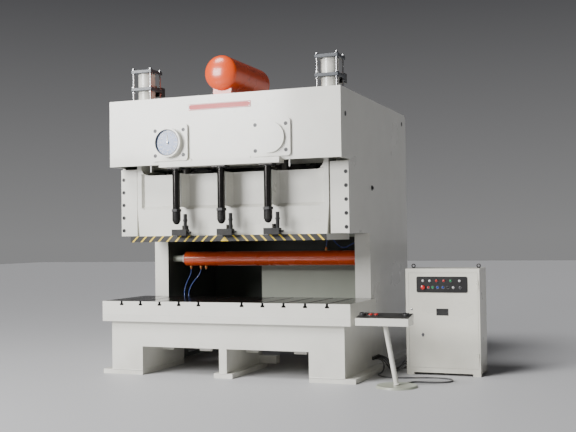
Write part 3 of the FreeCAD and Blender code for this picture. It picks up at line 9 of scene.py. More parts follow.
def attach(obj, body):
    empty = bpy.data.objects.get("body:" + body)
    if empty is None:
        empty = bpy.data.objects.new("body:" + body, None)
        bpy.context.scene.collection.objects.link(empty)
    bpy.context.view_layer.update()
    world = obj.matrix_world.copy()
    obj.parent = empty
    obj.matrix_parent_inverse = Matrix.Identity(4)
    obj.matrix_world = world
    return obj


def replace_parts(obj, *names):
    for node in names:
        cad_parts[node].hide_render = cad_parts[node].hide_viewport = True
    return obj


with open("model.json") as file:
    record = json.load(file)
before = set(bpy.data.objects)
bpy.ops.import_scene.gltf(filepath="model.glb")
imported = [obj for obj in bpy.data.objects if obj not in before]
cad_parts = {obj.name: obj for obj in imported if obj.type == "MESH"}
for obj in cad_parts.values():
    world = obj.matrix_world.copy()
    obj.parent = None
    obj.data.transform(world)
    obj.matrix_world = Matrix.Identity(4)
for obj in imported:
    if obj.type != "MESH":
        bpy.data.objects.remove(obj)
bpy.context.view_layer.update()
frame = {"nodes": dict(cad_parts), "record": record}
FRONT = -1.494                      # y of the crown's front face; setbacks are measured back from it


def at(x, back, z):
    """A place given as across, setback behind the crown's front face, and height."""
    return Vector((x, FRONT + back, z))


# ---- shared effects ------------------------------------------------------------------------------

def effect(name, inputs, outputs):
    """An empty node group with its sockets, and handles to its ends."""
    group = bpy.data.node_groups.new(name, "ShaderNodeTree")
    for label, default in inputs:
        socket = group.interface.new_socket(label, in_out="INPUT", socket_type="NodeSocketFloat")
        socket.default_value = default
    for label in outputs:
        group.interface.new_socket(label, in_out="OUTPUT", socket_type="NodeSocketFloat")
    return group, group.nodes.new("NodeGroupInput"), group.nodes.new("NodeGroupOutput")


def link(tree, source, target):
    tree.links.new(source, target)


def math_node(tree, operation, first, second=None):
    item = tree.nodes.new("ShaderNodeMath")
    item.operation = operation
    for slot, term in zip(item.inputs, (first, second)):
        if isinstance(term, (int, float)):
            slot.default_value = term
        elif term is not None:
            link(tree, term, slot)
    return item.outputs[0]


def noise(tree, scale, detail=3.0, stretch=None):
    """Noise laid on the piece's own coordinates, stretched where a finish runs one way."""
    coords = tree.nodes.new("ShaderNodeTexCoord").outputs["Object"]
    if stretch:
        mapping = tree.nodes.new("ShaderNodeMapping")
        mapping.inputs["Scale"].default_value = stretch
        link(tree, coords, mapping.inputs["Vector"])
        coords = mapping.outputs[0]
    item = tree.nodes.new("ShaderNodeTexNoise")
    item.inputs["Detail"].default_value = detail
    link(tree, coords, item.inputs["Vector"])
    if isinstance(scale, (int, float)):
        item.inputs["Scale"].default_value = scale
    else:
        link(tree, scale, item.inputs["Scale"])
    return item.outputs["Fac"]


def ramp(tree, source, low, high):
    """Straight ramp from 0 at low to 1 at high."""
    item = tree.nodes.new("ShaderNodeMapRange")
    link(tree, source, item.inputs["Value"])
    for label, term in (("From Min", low), ("From Max", high)):
        if isinstance(term, (int, float)):
            item.inputs[label].default_value = term
        else:
            link(tree, term, item.inputs[label])
    return item.outputs[0]


def make_edge_wear():
    """Rubbed corners: where the rounded normal leaves the true one, broken up by noise."""
    group, start, end = effect("edge wear", [("Width", 0.004), ("Amount", 1.0)], ["Mask"])
    bevel = group.nodes.new("ShaderNodeBevel")
    bevel.samples = 4
    link(group, start.outputs["Width"], bevel.inputs["Radius"])
    true = group.nodes.new("ShaderNodeNewGeometry").outputs["Normal"]
    dot = group.nodes.new("ShaderNodeVectorMath")
    dot.operation = "DOT_PRODUCT"
    link(group, bevel.outputs[0], dot.inputs[0])
    link(group, true, dot.inputs[1])
    turned = math_node(group, "SUBTRACT", 1.0, dot.outputs["Value"])
    patchy = ramp(group, noise(group, 34.0, 4.0), 0.42, 0.62)
    edge = ramp(group, turned, 0.02, 0.16)
    mask = math_node(group, "MULTIPLY", edge, patchy)
    link(group, math_node(group, "MULTIPLY", mask, start.outputs["Amount"]), end.inputs["Mask"])
    return group


def make_shop_dust():
    """Soft dirt in broad patches, thicker on upward faces and near the floor."""
    group, start, end = effect("shop dust", [("Scale", 2.0), ("Amount", 0.4)], ["Mask"])
    patches = ramp(group, noise(group, start.outputs["Scale"], 5.0), 0.38, 0.72)
    apart = group.nodes.new("ShaderNodeSeparateXYZ")
    link(group, group.nodes.new("ShaderNodeNewGeometry").outputs["Normal"], apart.inputs[0])
    upward = ramp(group, apart.outputs["Z"], 0.1, 1.0)
    place = group.nodes.new("ShaderNodeSeparateXYZ")
    link(group, group.nodes.new("ShaderNodeTexCoord").outputs["Object"], place.inputs[0])
    low = ramp(group, place.outputs["Z"], 0.45, 0.0)
    where = math_node(group, "ADD", math_node(group, "MULTIPLY", upward, 0.5),
                      math_node(group, "MULTIPLY", low, 0.6))
    where = math_node(group, "ADD", where, 0.25)
    mask = math_node(group, "MULTIPLY", math_node(group, "MULTIPLY", patches, where),
                     start.outputs["Amount"])
    link(group, math_node(group, "MINIMUM", mask, 1.0), end.inputs["Mask"])
    return group


def make_sprayed_film():
    """Sprayed paint: faint mottling of the tone and the fine ripple of orange peel."""
    group, start, end = effect("sprayed film", [("Mottle Scale", 1.5), ("Peel Scale", 260.0)],
                               ["Mottle", "Height"])
    link(group, ramp(group, noise(group, start.outputs["Mottle Scale"], 4.0), 0.3, 0.7),
         end.inputs["Mottle"])
    link(group, noise(group, start.outputs["Peel Scale"], 2.0), end.inputs["Height"])
    return group


def make_tool_marks():
    """Fine scratches left by a wheel or a cutter, running along one axis."""
    group, start, end = effect("tool marks", [("Scale", 40.0), ("Along", 0.04)], ["Streak", "Height"])
    coords = group.nodes.new("ShaderNodeTexCoord").outputs["Object"]
    squeeze = group.nodes.new("ShaderNodeCombineXYZ")
    link(group, start.outputs["Along"], squeeze.inputs["X"])
    squeeze.inputs["Y"].default_value = 1.0
    squeeze.inputs["Z"].default_value = 1.0
    spread = group.nodes.new("ShaderNodeVectorMath")
    spread.operation = "MULTIPLY"
    link(group, coords, spread.inputs[0])
    link(group, squeeze.outputs[0], spread.inputs[1])
    for label, factor, detail in (("Streak", 1.0, 4.0), ("Height", 6.0, 2.0)):
        item = group.nodes.new("ShaderNodeTexNoise")
        item.inputs["Detail"].default_value = detail
        link(group, spread.outputs[0], item.inputs["Vector"])
        link(group, math_node(group, "MULTIPLY", start.outputs["Scale"], factor), item.inputs["Scale"])
        link(group, item.outputs["Fac"], end.inputs[label])
    return group


EDGE_WEAR = make_edge_wear()
SHOP_DUST = make_shop_dust()
SPRAYED_FILM = make_sprayed_film()
TOOL_MARKS = make_tool_marks()


# ---- finishes ------------------------------------------------------------------------------------

def blank(name, metallic=0.0, coat=0.0, coat_rough=0.1, specular=0.5):
    item = bpy.data.materials.new(name)
    item.use_nodes = True
    shader = item.node_tree.nodes["Principled BSDF"]
    shader.inputs["Metallic"].default_value = metallic
    shader.inputs["Coat Weight"].default_value = coat
    shader.inputs["Coat Roughness"].default_value = coat_rough
    shader.inputs["Specular IOR Level"].default_value = specular
    return item, item.node_tree, shader


def use(tree, group, **values):
    item = tree.nodes.new("ShaderNodeGroup")
    item.node_tree = group
    for label, number in values.items():
        item.inputs[label.replace("_", " ")].default_value = number
    return item


def blend(tree, share, first, second):
    """Colour that goes from first to second with the share; each is a colour or a socket."""
    item = tree.nodes.new("ShaderNodeMix")
    item.data_type = "RGBA"
    link(tree, share, item.inputs["Factor"])
    for slot, term in ((item.inputs["A"], first), (item.inputs["B"], second)):
        for socket in item.inputs:
            if socket.name == slot.name and socket.type == "RGBA":
                if isinstance(term, tuple):
                    socket.default_value = (*term, 1.0)
                else:
                    link(tree, term, socket)
    for socket in item.outputs:
        if socket.type == "RGBA":
            return socket


def bump(tree, shader, height, strength, distance=0.001):
    item = tree.nodes.new("ShaderNodeBump")
    item.inputs["Strength"].default_value = strength
    item.inputs["Distance"].default_value = distance
    link(tree, height, item.inputs["Height"])
    link(tree, item.outputs[0], shader.inputs["Normal"])


def roughness(tree, shader, source, low, high):
    item = tree.nodes.new("ShaderNodeMapRange")
    item.inputs["To Min"].default_value = low
    item.inputs["To Max"].default_value = high
    link(tree, source, item.inputs["Value"])
    link(tree, item.outputs[0], shader.inputs["Roughness"])


def scaled(colour, factor):
    return tuple(part * factor for part in colour)


def painted(name, colour, rough=0.32, coat=0.35, dust=0.35, wear=0.5, bare=(0.12, 0.115, 0.11),
            soil=(0.2, 0.17, 0.13), pattern=None):
    """Sprayed paint on steel: mottle, dust and corners rubbed to the metal."""
    item, tree, shader = blank(name, coat=coat)
    film = use(tree, SPRAYED_FILM)
    tone = blend(tree, film.outputs["Mottle"], scaled(colour, 0.93), colour)
    if pattern:
        tone = pattern(tree, tone)
    tone = blend(tree, use(tree, SHOP_DUST, Amount=dust).outputs["Mask"], tone, soil)
    tone = blend(tree, use(tree, EDGE_WEAR, Amount=wear).outputs["Mask"], tone, bare)
    link(tree, tone, shader.inputs["Base Color"])
    roughness(tree, shader, film.outputs["Mottle"], rough - 0.05, rough + 0.07)
    bump(tree, shader, film.outputs["Height"], 0.12, 0.0006)
    return item


def machined(name, colour, rough=0.3, along=0.04, scale=40.0, stain=(0.16, 0.12, 0.08), stain_amount=0.3,
             metallic=0.95):
    """Ground or turned metal with its tool marks and a little oil stain."""
    item, tree, shader = blank(name, metallic=metallic)
    marks = use(tree, TOOL_MARKS, Scale=scale, Along=along)
    tone = blend(tree, marks.outputs["Streak"], scaled(colour, 0.78), colour)
    tone = blend(tree, use(tree, SHOP_DUST, Scale=3.5, Amount=stain_amount).outputs["Mask"], tone, stain)
    tone = blend(tree, use(tree, EDGE_WEAR, Amount=0.6).outputs["Mask"], tone, scaled(colour, 1.3))
    link(tree, tone, shader.inputs["Base Color"])
    roughness(tree, shader, marks.outputs["Streak"], rough - 0.08, rough + 0.1)
    bump(tree, shader, marks.outputs["Height"], 0.15, 0.0004)
    return item


def moulded(name, colour, rough=0.35, coat=0.2, peel=420.0):
    """Moulded plastic or rubber: fine texture, dulled by handling."""
    item, tree, shader = blank(name, coat=coat)
    film = use(tree, SPRAYED_FILM, Mottle_Scale=18.0, Peel_Scale=peel)
    tone = blend(tree, film.outputs["Mottle"], scaled(colour, 0.85), colour)
    tone = blend(tree, use(tree, SHOP_DUST, Scale=9.0, Amount=0.25).outputs["Mask"], tone,
                 (0.25, 0.23, 0.2))
    link(tree, tone, shader.inputs["Base Color"])
    roughness(tree, shader, film.outputs["Mottle"], rough - 0.06, rough + 0.1)
    bump(tree, shader, film.outputs["Height"], 0.2, 0.0003)
    return item


STRIPE_PITCH, STRIPE_SHARE = 0.119, 0.22
STRIPE_LOW = 1.625                   # height of the point where the middle wedge starts
WEDGE, WEDGE_MARGIN = 0.045, 0.085   # half-width of the yellow wedge and of the black around it


def warning_stripes(tree, tone):
    """Thin yellow diagonals on black either side of a yellow wedge, on the front face only."""
    place = tree.nodes.new("ShaderNodeSeparateXYZ")
    link(tree, tree.nodes.new("ShaderNodeTexCoord").outputs["Object"], place.inputs[0])
    reach = math_node(tree, "ABSOLUTE", place.outputs["X"])
    slant = math_node(tree, "ADD", reach, math_node(tree, "MULTIPLY", place.outputs["Z"], 1.0))
    share = math_node(tree, "FRACT", math_node(tree, "DIVIDE", slant, STRIPE_PITCH))
    line = math_node(tree, "LESS_THAN", share, STRIPE_SHARE)
    height = math_node(tree, "SUBTRACT", place.outputs["Z"], STRIPE_LOW)
    wedge = math_node(tree, "ADD", reach, math_node(tree, "MULTIPLY", height, 0.9))
    clear = math_node(tree, "GREATER_THAN", wedge, WEDGE_MARGIN)
    line = math_node(tree, "MULTIPLY", line, clear)
    line = math_node(tree, "MAXIMUM", line, math_node(tree, "LESS_THAN", wedge, WEDGE))
    facing = tree.nodes.new("ShaderNodeSeparateXYZ")
    link(tree, tree.nodes.new("ShaderNodeNewGeometry").outputs["Normal"], facing.inputs[0])
    front = math_node(tree, "LESS_THAN", facing.outputs["Y"], -0.5)
    striped = blend(tree, line, (0.012, 0.012, 0.012), (0.78, 0.55, 0.03))
    return blend(tree, front, tone, striped)


# Dark grey-green painted shade for the faces that lie in the shade of the throat.
PAINTED_SHADE = (0.075, 0.088, 0.07)
BOLSTER_HALF, BOLSTER_TOP = 1.6, 0.899


def parts_of(tree):
    """Separated object position and surface normal."""
    made = []
    for source in (tree.nodes.new("ShaderNodeTexCoord").outputs["Object"],
                   tree.nodes.new("ShaderNodeNewGeometry").outputs["Normal"]):
        apart = tree.nodes.new("ShaderNodeSeparateXYZ")
        link(tree, source, apart.inputs[0])
        made.append(apart.outputs)
    return made


def painted_shade_inside(tree, tone):
    """Painted shade: dark grey-green on the faces that look towards the middle of the press, standing in for
    the shade inside the throat.
    """
    place, normal = parts_of(tree)
    inward = math_node(tree, "MULTIPLY", normal["X"], math_node(tree, "SIGN", place["X"]))
    return blend(tree, math_node(tree, "LESS_THAN", inward, -0.5), tone, PAINTED_SHADE)


def painted_shade_front(tree, tone):
    """Painted shade: dark grey-green on the faces that look towards the operator, standing in for the shade
    in the throat.
    """
    normal = parts_of(tree)[1]
    return blend(tree, math_node(tree, "LESS_THAN", normal["Y"], -0.5), tone, PAINTED_SHADE)


def bolster_finish(name):
    """Enamelled sides, ground top, and near-black painted shade on the slots and on the faces behind the
    front.
    """
    item, tree, shader = blank(name, coat=0.15)
    place, normal = parts_of(tree)
    marks = use(tree, TOOL_MARKS, Scale=30.0, Along=0.04)
    ground = blend(tree, marks.outputs["Streak"], (0.05, 0.045, 0.042), (0.11, 0.1, 0.09))
    upward = math_node(tree, "GREATER_THAN", normal["Z"], 0.6)
    near_top = math_node(tree, "GREATER_THAN", place["Z"], BOLSTER_TOP - 0.003)
    top = math_node(tree, "MULTIPLY", upward, near_top)
    # Painted shade: inside the bolster's width, every face that neither faces the front nor is the top is
    # painted near-black, standing in for the shade in the T-slots.
    within = math_node(tree, "LESS_THAN", math_node(tree, "ABSOLUTE", place["X"]),
                       BOLSTER_HALF - 0.008)
    behind = math_node(tree, "GREATER_THAN", normal["Y"], -0.5)
    slot = math_node(tree, "MULTIPLY", math_node(tree, "MULTIPLY", within, behind),
                     math_node(tree, "SUBTRACT", 1.0, top))
    film = use(tree, SPRAYED_FILM)
    tone = blend(tree, film.outputs["Mottle"], scaled(CREAM, 0.93), CREAM)
    tone = blend(tree, use(tree, EDGE_WEAR, Amount=0.3).outputs["Mask"], tone, (0.12, 0.115, 0.11))
    # Painted shade: near-black in the slots.
    tone = blend(tree, slot, tone, (0.012, 0.012, 0.012))
    tone = blend(tree, top, tone, ground)
    link(tree, tone, shader.inputs["Base Color"])
    link(tree, math_node(tree, "MULTIPLY", top, 0.85), shader.inputs["Metallic"])
    roughness(tree, shader, top, 0.34, 0.2)
    bump(tree, shader, marks.outputs["Height"], 0.1, 0.0003)
    return item


CREAM = (0.80, 0.79, 0.72)
FINISHES = {
    "cream": painted("cream enamel", CREAM, rough=0.3, coat=0.45),
    "black": painted("black enamel", (0.014, 0.014, 0.015), rough=0.34, coat=0.2, dust=0.25, wear=0.35),
    "orange_red": painted("orange-red enamel", (0.86, 0.095, 0.014), rough=0.26, coat=0.5, dust=0.06,
                          wear=0.1),
    "red_paint": painted("red enamel", (0.60, 0.012, 0.01), rough=0.4, coat=0.1, dust=0.05, wear=0.1),
    "grey_green": painted("grey-green enamel", (0.42, 0.45, 0.37), rough=0.4, coat=0.15, dust=0.5),
    "hazard": painted("striped enamel", (0.60, 0.60, 0.55), rough=0.34, coat=0.25, wear=0.8,
                      pattern=warning_stripes),
    "ground_steel": machined("ground steel", (0.17, 0.155, 0.145), rough=0.24, stain_amount=0.6),
    "cast_iron": machined("machined iron", (0.10, 0.098, 0.095), rough=0.42, along=1.0, scale=60.0),
    "bronze": machined("bronze", (0.42, 0.27, 0.10), rough=0.35),
    "chrome": machined("polished steel", (0.52, 0.52, 0.53), rough=0.14, along=1.0, scale=90.0,
                       stain_amount=0.15),
    "blue_dial": moulded("blue dial face", (0.045, 0.12, 0.34), rough=0.25, coat=0.5),
    "red_plastic": moulded("red plastic", (0.62, 0.012, 0.01), rough=0.22, coat=0.5),
    "green_plastic": moulded("green plastic", (0.01, 0.30, 0.10), rough=0.22, coat=0.5),
    "blue_plastic": moulded("blue plastic", (0.015, 0.07, 0.42), rough=0.22, coat=0.5),
    "black_plastic": moulded("black plastic", (0.012, 0.012, 0.013), rough=0.4),
    "rubber": moulded("black rubber", (0.012, 0.012, 0.012), rough=0.62, coat=0.0, peel=700.0),
    "cable_grey": moulded("grey cable jacket", (0.10, 0.10, 0.105), rough=0.5, coat=0.05, peel=700.0),
    "blue_hose": moulded("blue air hose", (0.012, 0.045, 0.24), rough=0.25, coat=0.4),
}
WHITE = moulded("white plastic", (0.78, 0.78, 0.76), rough=0.3, coat=0.4)
SLATE = painted("slate enamel", (0.055, 0.065, 0.08), rough=0.4, coat=0.2, dust=0.3)
BRASS = FINISHES["bronze"]

DARK_STEEL = machined("blackened steel", (0.045, 0.043, 0.042), rough=0.22, along=1.0, scale=60.0,
                      stain_amount=0.1)
FLAT_BLACK = moulded("flat black", (0.006, 0.006, 0.006), rough=0.6, coat=0.0)
IVORY = painted("ivory enamel", (0.84, 0.82, 0.72), rough=0.3, coat=0.4)
BOLSTER = bolster_finish("bolster finish")
# Side frames: cream enamel with painted shade on their inward faces.
FRAME_SIDES = painted("enamel with painted inside shade", CREAM, rough=0.3, coat=0.45, pattern=painted_shade_inside)
# Back guard: cream enamel with painted shade on the faces that look into the throat.
GUARD = painted("guard enamel", CREAM, rough=0.34, coat=0.3, pattern=painted_shade_front)

node_slot = {row["node"]: row["material_slot"] for row in frame["record"]["subparts"]}
for name, item in frame["nodes"].items():
    item.data.materials.clear()
    item.data.materials.append(FINISHES[node_slot[name]])


def refinish(name, material):
    frame["nodes"][name].data.materials[0] = material


# ---- shapes --------------------------------------------------------------------------------------

AWAY = Vector((0, -1, 0))            # towards the operator
UP = Vector((0, 0, 1))
RIGHT = Vector((1, 0, 0))


def spun(shape, profile, origin, direction=UP, steps=48):
    """Revolve (distance along, radius) points about a line; the ends close on the line."""
    turn = UP.rotation_difference(Vector(direction)).to_matrix().to_4x4()
    matrix = Matrix.Translation(origin) @ turn
    rings = []
    for along, radius in profile:
        if radius < 1e-6:
            rings.append([shape.verts.new(matrix @ Vector((0, 0, along)))])
            continue
        rings.append([shape.verts.new(matrix @ Vector((radius * math.cos(2 * math.pi * i / steps),
                                                       radius * math.sin(2 * math.pi * i / steps), along)))
                      for i in range(steps)])
    for lower, upper in zip(rings, rings[1:]):
        for i in range(steps):
            j = (i + 1) % steps
            corners = [lower[i % len(lower)], lower[j % len(lower)], upper[j % len(upper)],
                       upper[i % len(upper)]]
            kept = [v for k, v in enumerate(corners) if v not in corners[:k]]
            if len(kept) > 2:
                shape.faces.new(kept)


def hoop(shape, radius, wire, origin, direction=UP, steps=48, section=12):
    """A ring of round wire about a line."""
    angles = [2 * math.pi * i / section for i in range(section)]
    profile = [(wire * math.sin(angle), radius + wire * math.cos(angle)) for angle in angles]
    spun(shape, profile + profile[:1], origin, direction, steps)


def slab(shape, low, high):
    """An upright box between two corners."""
    low, high = Vector(low), Vector(high)
    made = bmesh.ops.create_cube(shape, size=1.0)["verts"]
    for vert in made:
        vert.co = Vector(((low[k] + high[k]) / 2 + vert.co[k] * (high[k] - low[k]) for k in range(3)))


def hex_bolt(shape, origin, direction, across=0.024, tall=0.012):
    """Washer and chamfered six-sided head."""
    radius = across / math.sqrt(3)
    spun(shape, [(0, 0), (0, across * 0.85), (0.0025, across * 0.85), (0.0025, 0)], origin, direction, 32)
    spun(shape, [(0.0025, 0), (0.0025, radius), (tall * 0.8, radius), (tall, radius * 0.86), (tall, 0)],
         origin, direction, 6)


def piece(name, shape, material, body, bevel=0.0, sharp=35):
    bmesh.ops.remove_doubles(shape, verts=shape.verts, dist=1e-6)
    bmesh.ops.recalc_face_normals(shape, faces=shape.faces)
    mesh = bpy.data.meshes.new(name)
    shape.to_mesh(mesh)
    shape.free()
    mesh.polygons.foreach_set("use_smooth", [True] * len(mesh.polygons))
    mesh.set_sharp_from_angle(angle=math.radians(sharp))
    item = bpy.data.objects.new(name, mesh)
    bpy.context.collection.objects.link(item)
    mesh.materials.append(material)
    if bevel:
        soft = item.modifiers.new("soft edges", "BEVEL")
        soft.width = bevel
        soft.segments = 3
        soft.limit_method = "ANGLE"
        soft.angle_limit = math.radians(40)
        soft.harden_normals = True
    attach(item, body)
    return item


# ---- cables and hoses ------------------------------------------------------------------------------

def round_cord(name, points, radius, material):
    """Smooth round tube with the route's points as its control points."""
    curve = bpy.data.curves.new(name, "CURVE")
    curve.dimensions = "3D"
    spline = curve.splines.new("NURBS")
    spline.points.add(len(points) - 1)
    for point, (x, back, z) in zip(spline.points, points):
        point.co = (*at(x, back, z), 1.0)
    spline.order_u = 3
    spline.use_endpoint_u = True
    spline.resolution_u = 8
    curve.bevel_depth = radius
    curve.bevel_resolution = 4
    curve.use_fill_caps = True
    curve.materials.append(material)
    item = bpy.data.objects.new(name, curve)
    bpy.context.collection.objects.link(item)
    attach(item, "frame")
    return item


CABLES = {
    "power_cable_a": (0.503, [(1.5341, 1.21, 0.15), (1.602, 1.207, 0.146), (1.66, 1.186, 0.1),
                              (1.712, 1.158, 0.032), (1.768, 1.128, 0.01), (1.826, 1.106, 0.014),
                              (1.886, 1.092, 0.052), (1.9571, 1.09, 0.066)]),
    "power_cable_b": (0.529, [(1.5341, 1.29, 0.15), (1.602, 1.288, 0.146), (1.66, 1.268, 0.1),
                              (1.71, 1.24, 0.032), (1.766, 1.202, 0.01), (1.826, 1.168, 0.032),
                              (1.888, 1.152, 0.096), (1.9568, 1.15, 0.112)]),
    "power_cable_c": (0.551, [(1.5341, 1.37, 0.15), (1.602, 1.368, 0.146), (1.66, 1.347, 0.1),
                              (1.708, 1.318, 0.036), (1.764, 1.282, 0.014), (1.826, 1.247, 0.04),
                              (1.888, 1.216, 0.126), (1.955, 1.21, 0.158)]),
    "console_cable": (2.235, [(1.5341, 1.13, 0.15), (1.606, 1.127, 0.147), (1.662, 1.09, 0.112),
                              (1.684, 1.018, 0.042), (1.682, 0.924, 0.01), (1.67, 0.822, 0.01),
                              (1.69, 0.72, 0.01), (1.76, 0.64, 0.01), (1.86, 0.592, 0.01),
                              (1.98, 0.59, 0.01), (2.11, 0.625, 0.01), (2.24, 0.672, 0.01),
                              (2.37, 0.702, 0.01), (2.49, 0.69, 0.01), (2.58, 0.635, 0.01),
                              (2.622, 0.545, 0.01), (2.6, 0.445, 0.01), (2.525, 0.376, 0.01),
                              (2.418, 0.348, 0.01), (2.32, 0.354, 0.01), (2.244, 0.348, 0.01),
                              (2.188, 0.301, 0.01), (2.172, 0.223, 0.012)]),
}
HOSES = {
    "hose_a": (0.525, [(-1.051, 1.28, 1.2554), (-1.051, 1.28, 1.19), (-1.085, 1.255, 1.11),
                       (-1.105, 1.205, 1.02), (-1.1, 1.16, 0.93), (-1.082, 1.15, 0.85),
                       (-1.08, 1.15, 0.7654)]),
    "hose_b": (0.551, [(-0.907, 1.28, 1.2554), (-0.909, 1.279, 1.19), (-0.975, 1.262, 1.115),
                       (-1.03, 1.225, 1.03), (-1.045, 1.18, 0.94), (-1.026, 1.153, 0.85),
                       (-1.02, 1.15, 0.7657)]),
    "hose_c": (0.593, [(0.874, 1.28, 1.5146), (0.876, 1.278, 1.582), (0.916, 1.245, 1.64),
                       (0.988, 1.21, 1.628), (1.046, 1.188, 1.562), (1.11, 1.174, 1.516),
                       (1.182, 1.17, 1.52), (1.244, 1.176, 1.562), (1.3054, 1.18, 1.584)]),
}
CABLE_RADIUS, HOSE_RADIUS = 0.009, 0.007
for name, (long, points) in CABLES.items():
    item = round_cord(name + "_jacket", points, CABLE_RADIUS, FINISHES["cable_grey"])
    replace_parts(item, name)
for name, (long, points) in HOSES.items():
    item = round_cord(name, points, HOSE_RADIUS, FINISHES["blue_hose"])
    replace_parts(item, "air_hoses")


# ---- dial and name plate ---------------------------------------------------------------------------

CRANK_X, CRANK_Z = 0.66, 2.812
FACE_BACK = -0.0738                  # setback of the printed face of the dial

shape = bmesh.new()
spun(shape, [(0, 0), (0, 0.1532), (0.0018, 0.1532), (0.0018, 0)], at(-CRANK_X, -0.072, CRANK_Z), AWAY, 96)
piece("dial_face", shape, FINISHES["blue_dial"], "frame")
shape = bmesh.new()
spun(shape, [(0, 0.1505), (0, 0.1538), (0.0155, 0.1538), (0.0165, 0.158), (0.0185, 0.158), (0.0190, 0.1562),
             (0.0185, 0.1512), (0.013, 0.1505), (0, 0.1505)], at(-CRANK_X, -0.080, CRANK_Z), AWAY, 96)
piece("dial_bezel", shape, FINISHES["black"], "frame")
shape = bmesh.new()
for i in range(60):
    turn = Matrix.Rotation(math.radians(6 * i), 4, "Y")
    inner, half = (0.114, 0.0026) if i % 5 == 0 else (0.128, 0.0013)
    before = len(shape.verts)
    slab(shape, (-half, -0.0007, inner), (half, 0, 0.142))
    shape.verts.ensure_lookup_table()
    for vert in shape.verts[before:]:
        vert.co = at(-CRANK_X, FACE_BACK, CRANK_Z) + turn @ vert.co
hoop(shape, 0.1455, 0.0008, at(-CRANK_X, FACE_BACK, CRANK_Z), AWAY, 96, 6)
piece("dial_ticks", shape, WHITE, "frame")
shape = bmesh.new()
spun(shape, [(0, 0), (0, 0.016), (0.003, 0.016), (0.0045, 0.012), (0.0045, 0)],
     at(-CRANK_X, -0.080, CRANK_Z), AWAY, 32)
piece("pointer_cap", shape, FINISHES["chrome"], "crank_left")
for i in range(12):
    angle = math.radians(30 * i)
    text = bpy.data.curves.new("dial_number", "FONT")
    text.body = str(30 * i)
    text.size = 0.024
    text.align_x = text.align_y = "CENTER"
    text.extrude = 0.0003
    text.materials.append(WHITE)
    label = bpy.data.objects.new("dial_number_%d" % (30 * i), text)
    bpy.context.collection.objects.link(label)
    label.location = at(-CRANK_X + 0.097 * math.sin(angle), FACE_BACK - 0.0004,
                        CRANK_Z + 0.097 * math.cos(angle))
    label.rotation_euler = (math.radians(90), 0, 0)
    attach(label, "frame")

shape = bmesh.new()
for z in (3.196, 3.256):
    slab(shape, at(-0.399, -0.0056, z - 0.0015), at(0.399, -0.005, z + 0.0015))
for x in (-0.399, 0.399):
    slab(shape, at(x - 0.0015, -0.0056, 3.1945), at(x + 0.0015, -0.005, 3.2575))
piece("nameplate_border", shape, WHITE, "frame")
shape = bmesh.new()
for x in (-0.39, 0.39):
    for z in (3.203, 3.249):
        spun(shape, [(0, 0), (0, 0.005), (0.0015, 0.0045), (0.0025, 0)], at(x, -0.005, z), AWAY, 20)
piece("nameplate_rivets", shape, FINISHES["chrome"], "frame")


# ---- slide balancers -------------------------------------------------------------------------------

for side, sign in (("left", -1), ("right", 1)):
    centre_x, centre_back = sign * 1.236, 0.455
    shape = bmesh.new()
    for low, high in ((3.080, 3.534), (3.576, 3.758)):
        rim = high - low
        spun(shape, [(0, 0.0985), (0, 0.107), (rim - 0.030, 0.107), (rim - 0.028, 0.109),
                     (rim - 0.012, 0.109), (rim - 0.010, 0.107), (rim, 0.107), (rim, 0.0985), (0, 0.0985)],
             at(centre_x, centre_back, low), UP, 72)
    piece("balancer_%s_barrels" % side, shape, FINISHES["cream"], "frame")
    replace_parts(bpy.data.objects["balancer_%s_barrels" % side], "balancer_" + side)
    shape = bmesh.new()
    for low in (3.534, 3.758):
        slab(shape, at(centre_x - 0.145, centre_back - 0.145, low),
             at(centre_x + 0.145, centre_back + 0.145, low + 0.042))
    plates = piece("balancer_%s_plates" % side, shape, SLATE, "frame", bevel=0.006)
    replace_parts(plates, "balancer_" + side)
    shape = bmesh.new()
    for across_tie in (-0.122, 0.122):
        for back_tie in (-0.122, 0.122):
            foot = at(centre_x + across_tie, centre_back + back_tie, 0)
            spun(shape, [(3.363, 0), (3.363, 0.011), (3.8255, 0.011), (3.8285, 0.008), (3.8285, 0)],
                 foot, UP, 20)
            for low in (3.363, 3.512, 3.576, 3.800):
                hex_bolt(shape, foot + UP * low, UP, 0.033, 0.019)
    ties = piece("balancer_%s_ties" % side, shape, FINISHES["chrome"], "frame")
    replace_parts(ties, "balancer_" + side)
    shape = bmesh.new()
    slab(shape, at(centre_x - 0.045, centre_back + 0.145, 3.489),
         at(centre_x + 0.135, centre_back + 0.235, 3.606))
    valve = piece("balancer_%s_valve" % side, shape, FINISHES["black"], "frame", bevel=0.005)
    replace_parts(valve, "balancer_" + side)
    shape = bmesh.new()
    spun(shape, [(0, 0), (0, 0.022), (0.012, 0.022), (0.016, 0.016), (0.034, 0.014), (0.036, 0)],
         at(centre_x + 0.02, centre_back + 0.19, 3.606), UP, 32)
    spun(shape, [(0, 0), (0, 0.016), (0.02, 0.016), (0.022, 0)], at(centre_x, centre_back, 3.800), UP, 6)
    piece("balancer_%s_plugs" % side, shape, BRASS, "frame")
    shape = bmesh.new()
    spun(shape, [(0, 0), (0, 0.150), (0.010, 0.150), (0.012, 0.147), (0.012, 0)],
         at(centre_x, centre_back, 3.363), UP, 6 * 8)
    piece("balancer_%s_seat" % side, shape, FINISHES["cream"], "frame")


# ---- air tanks -------------------------------------------------------------------------------------

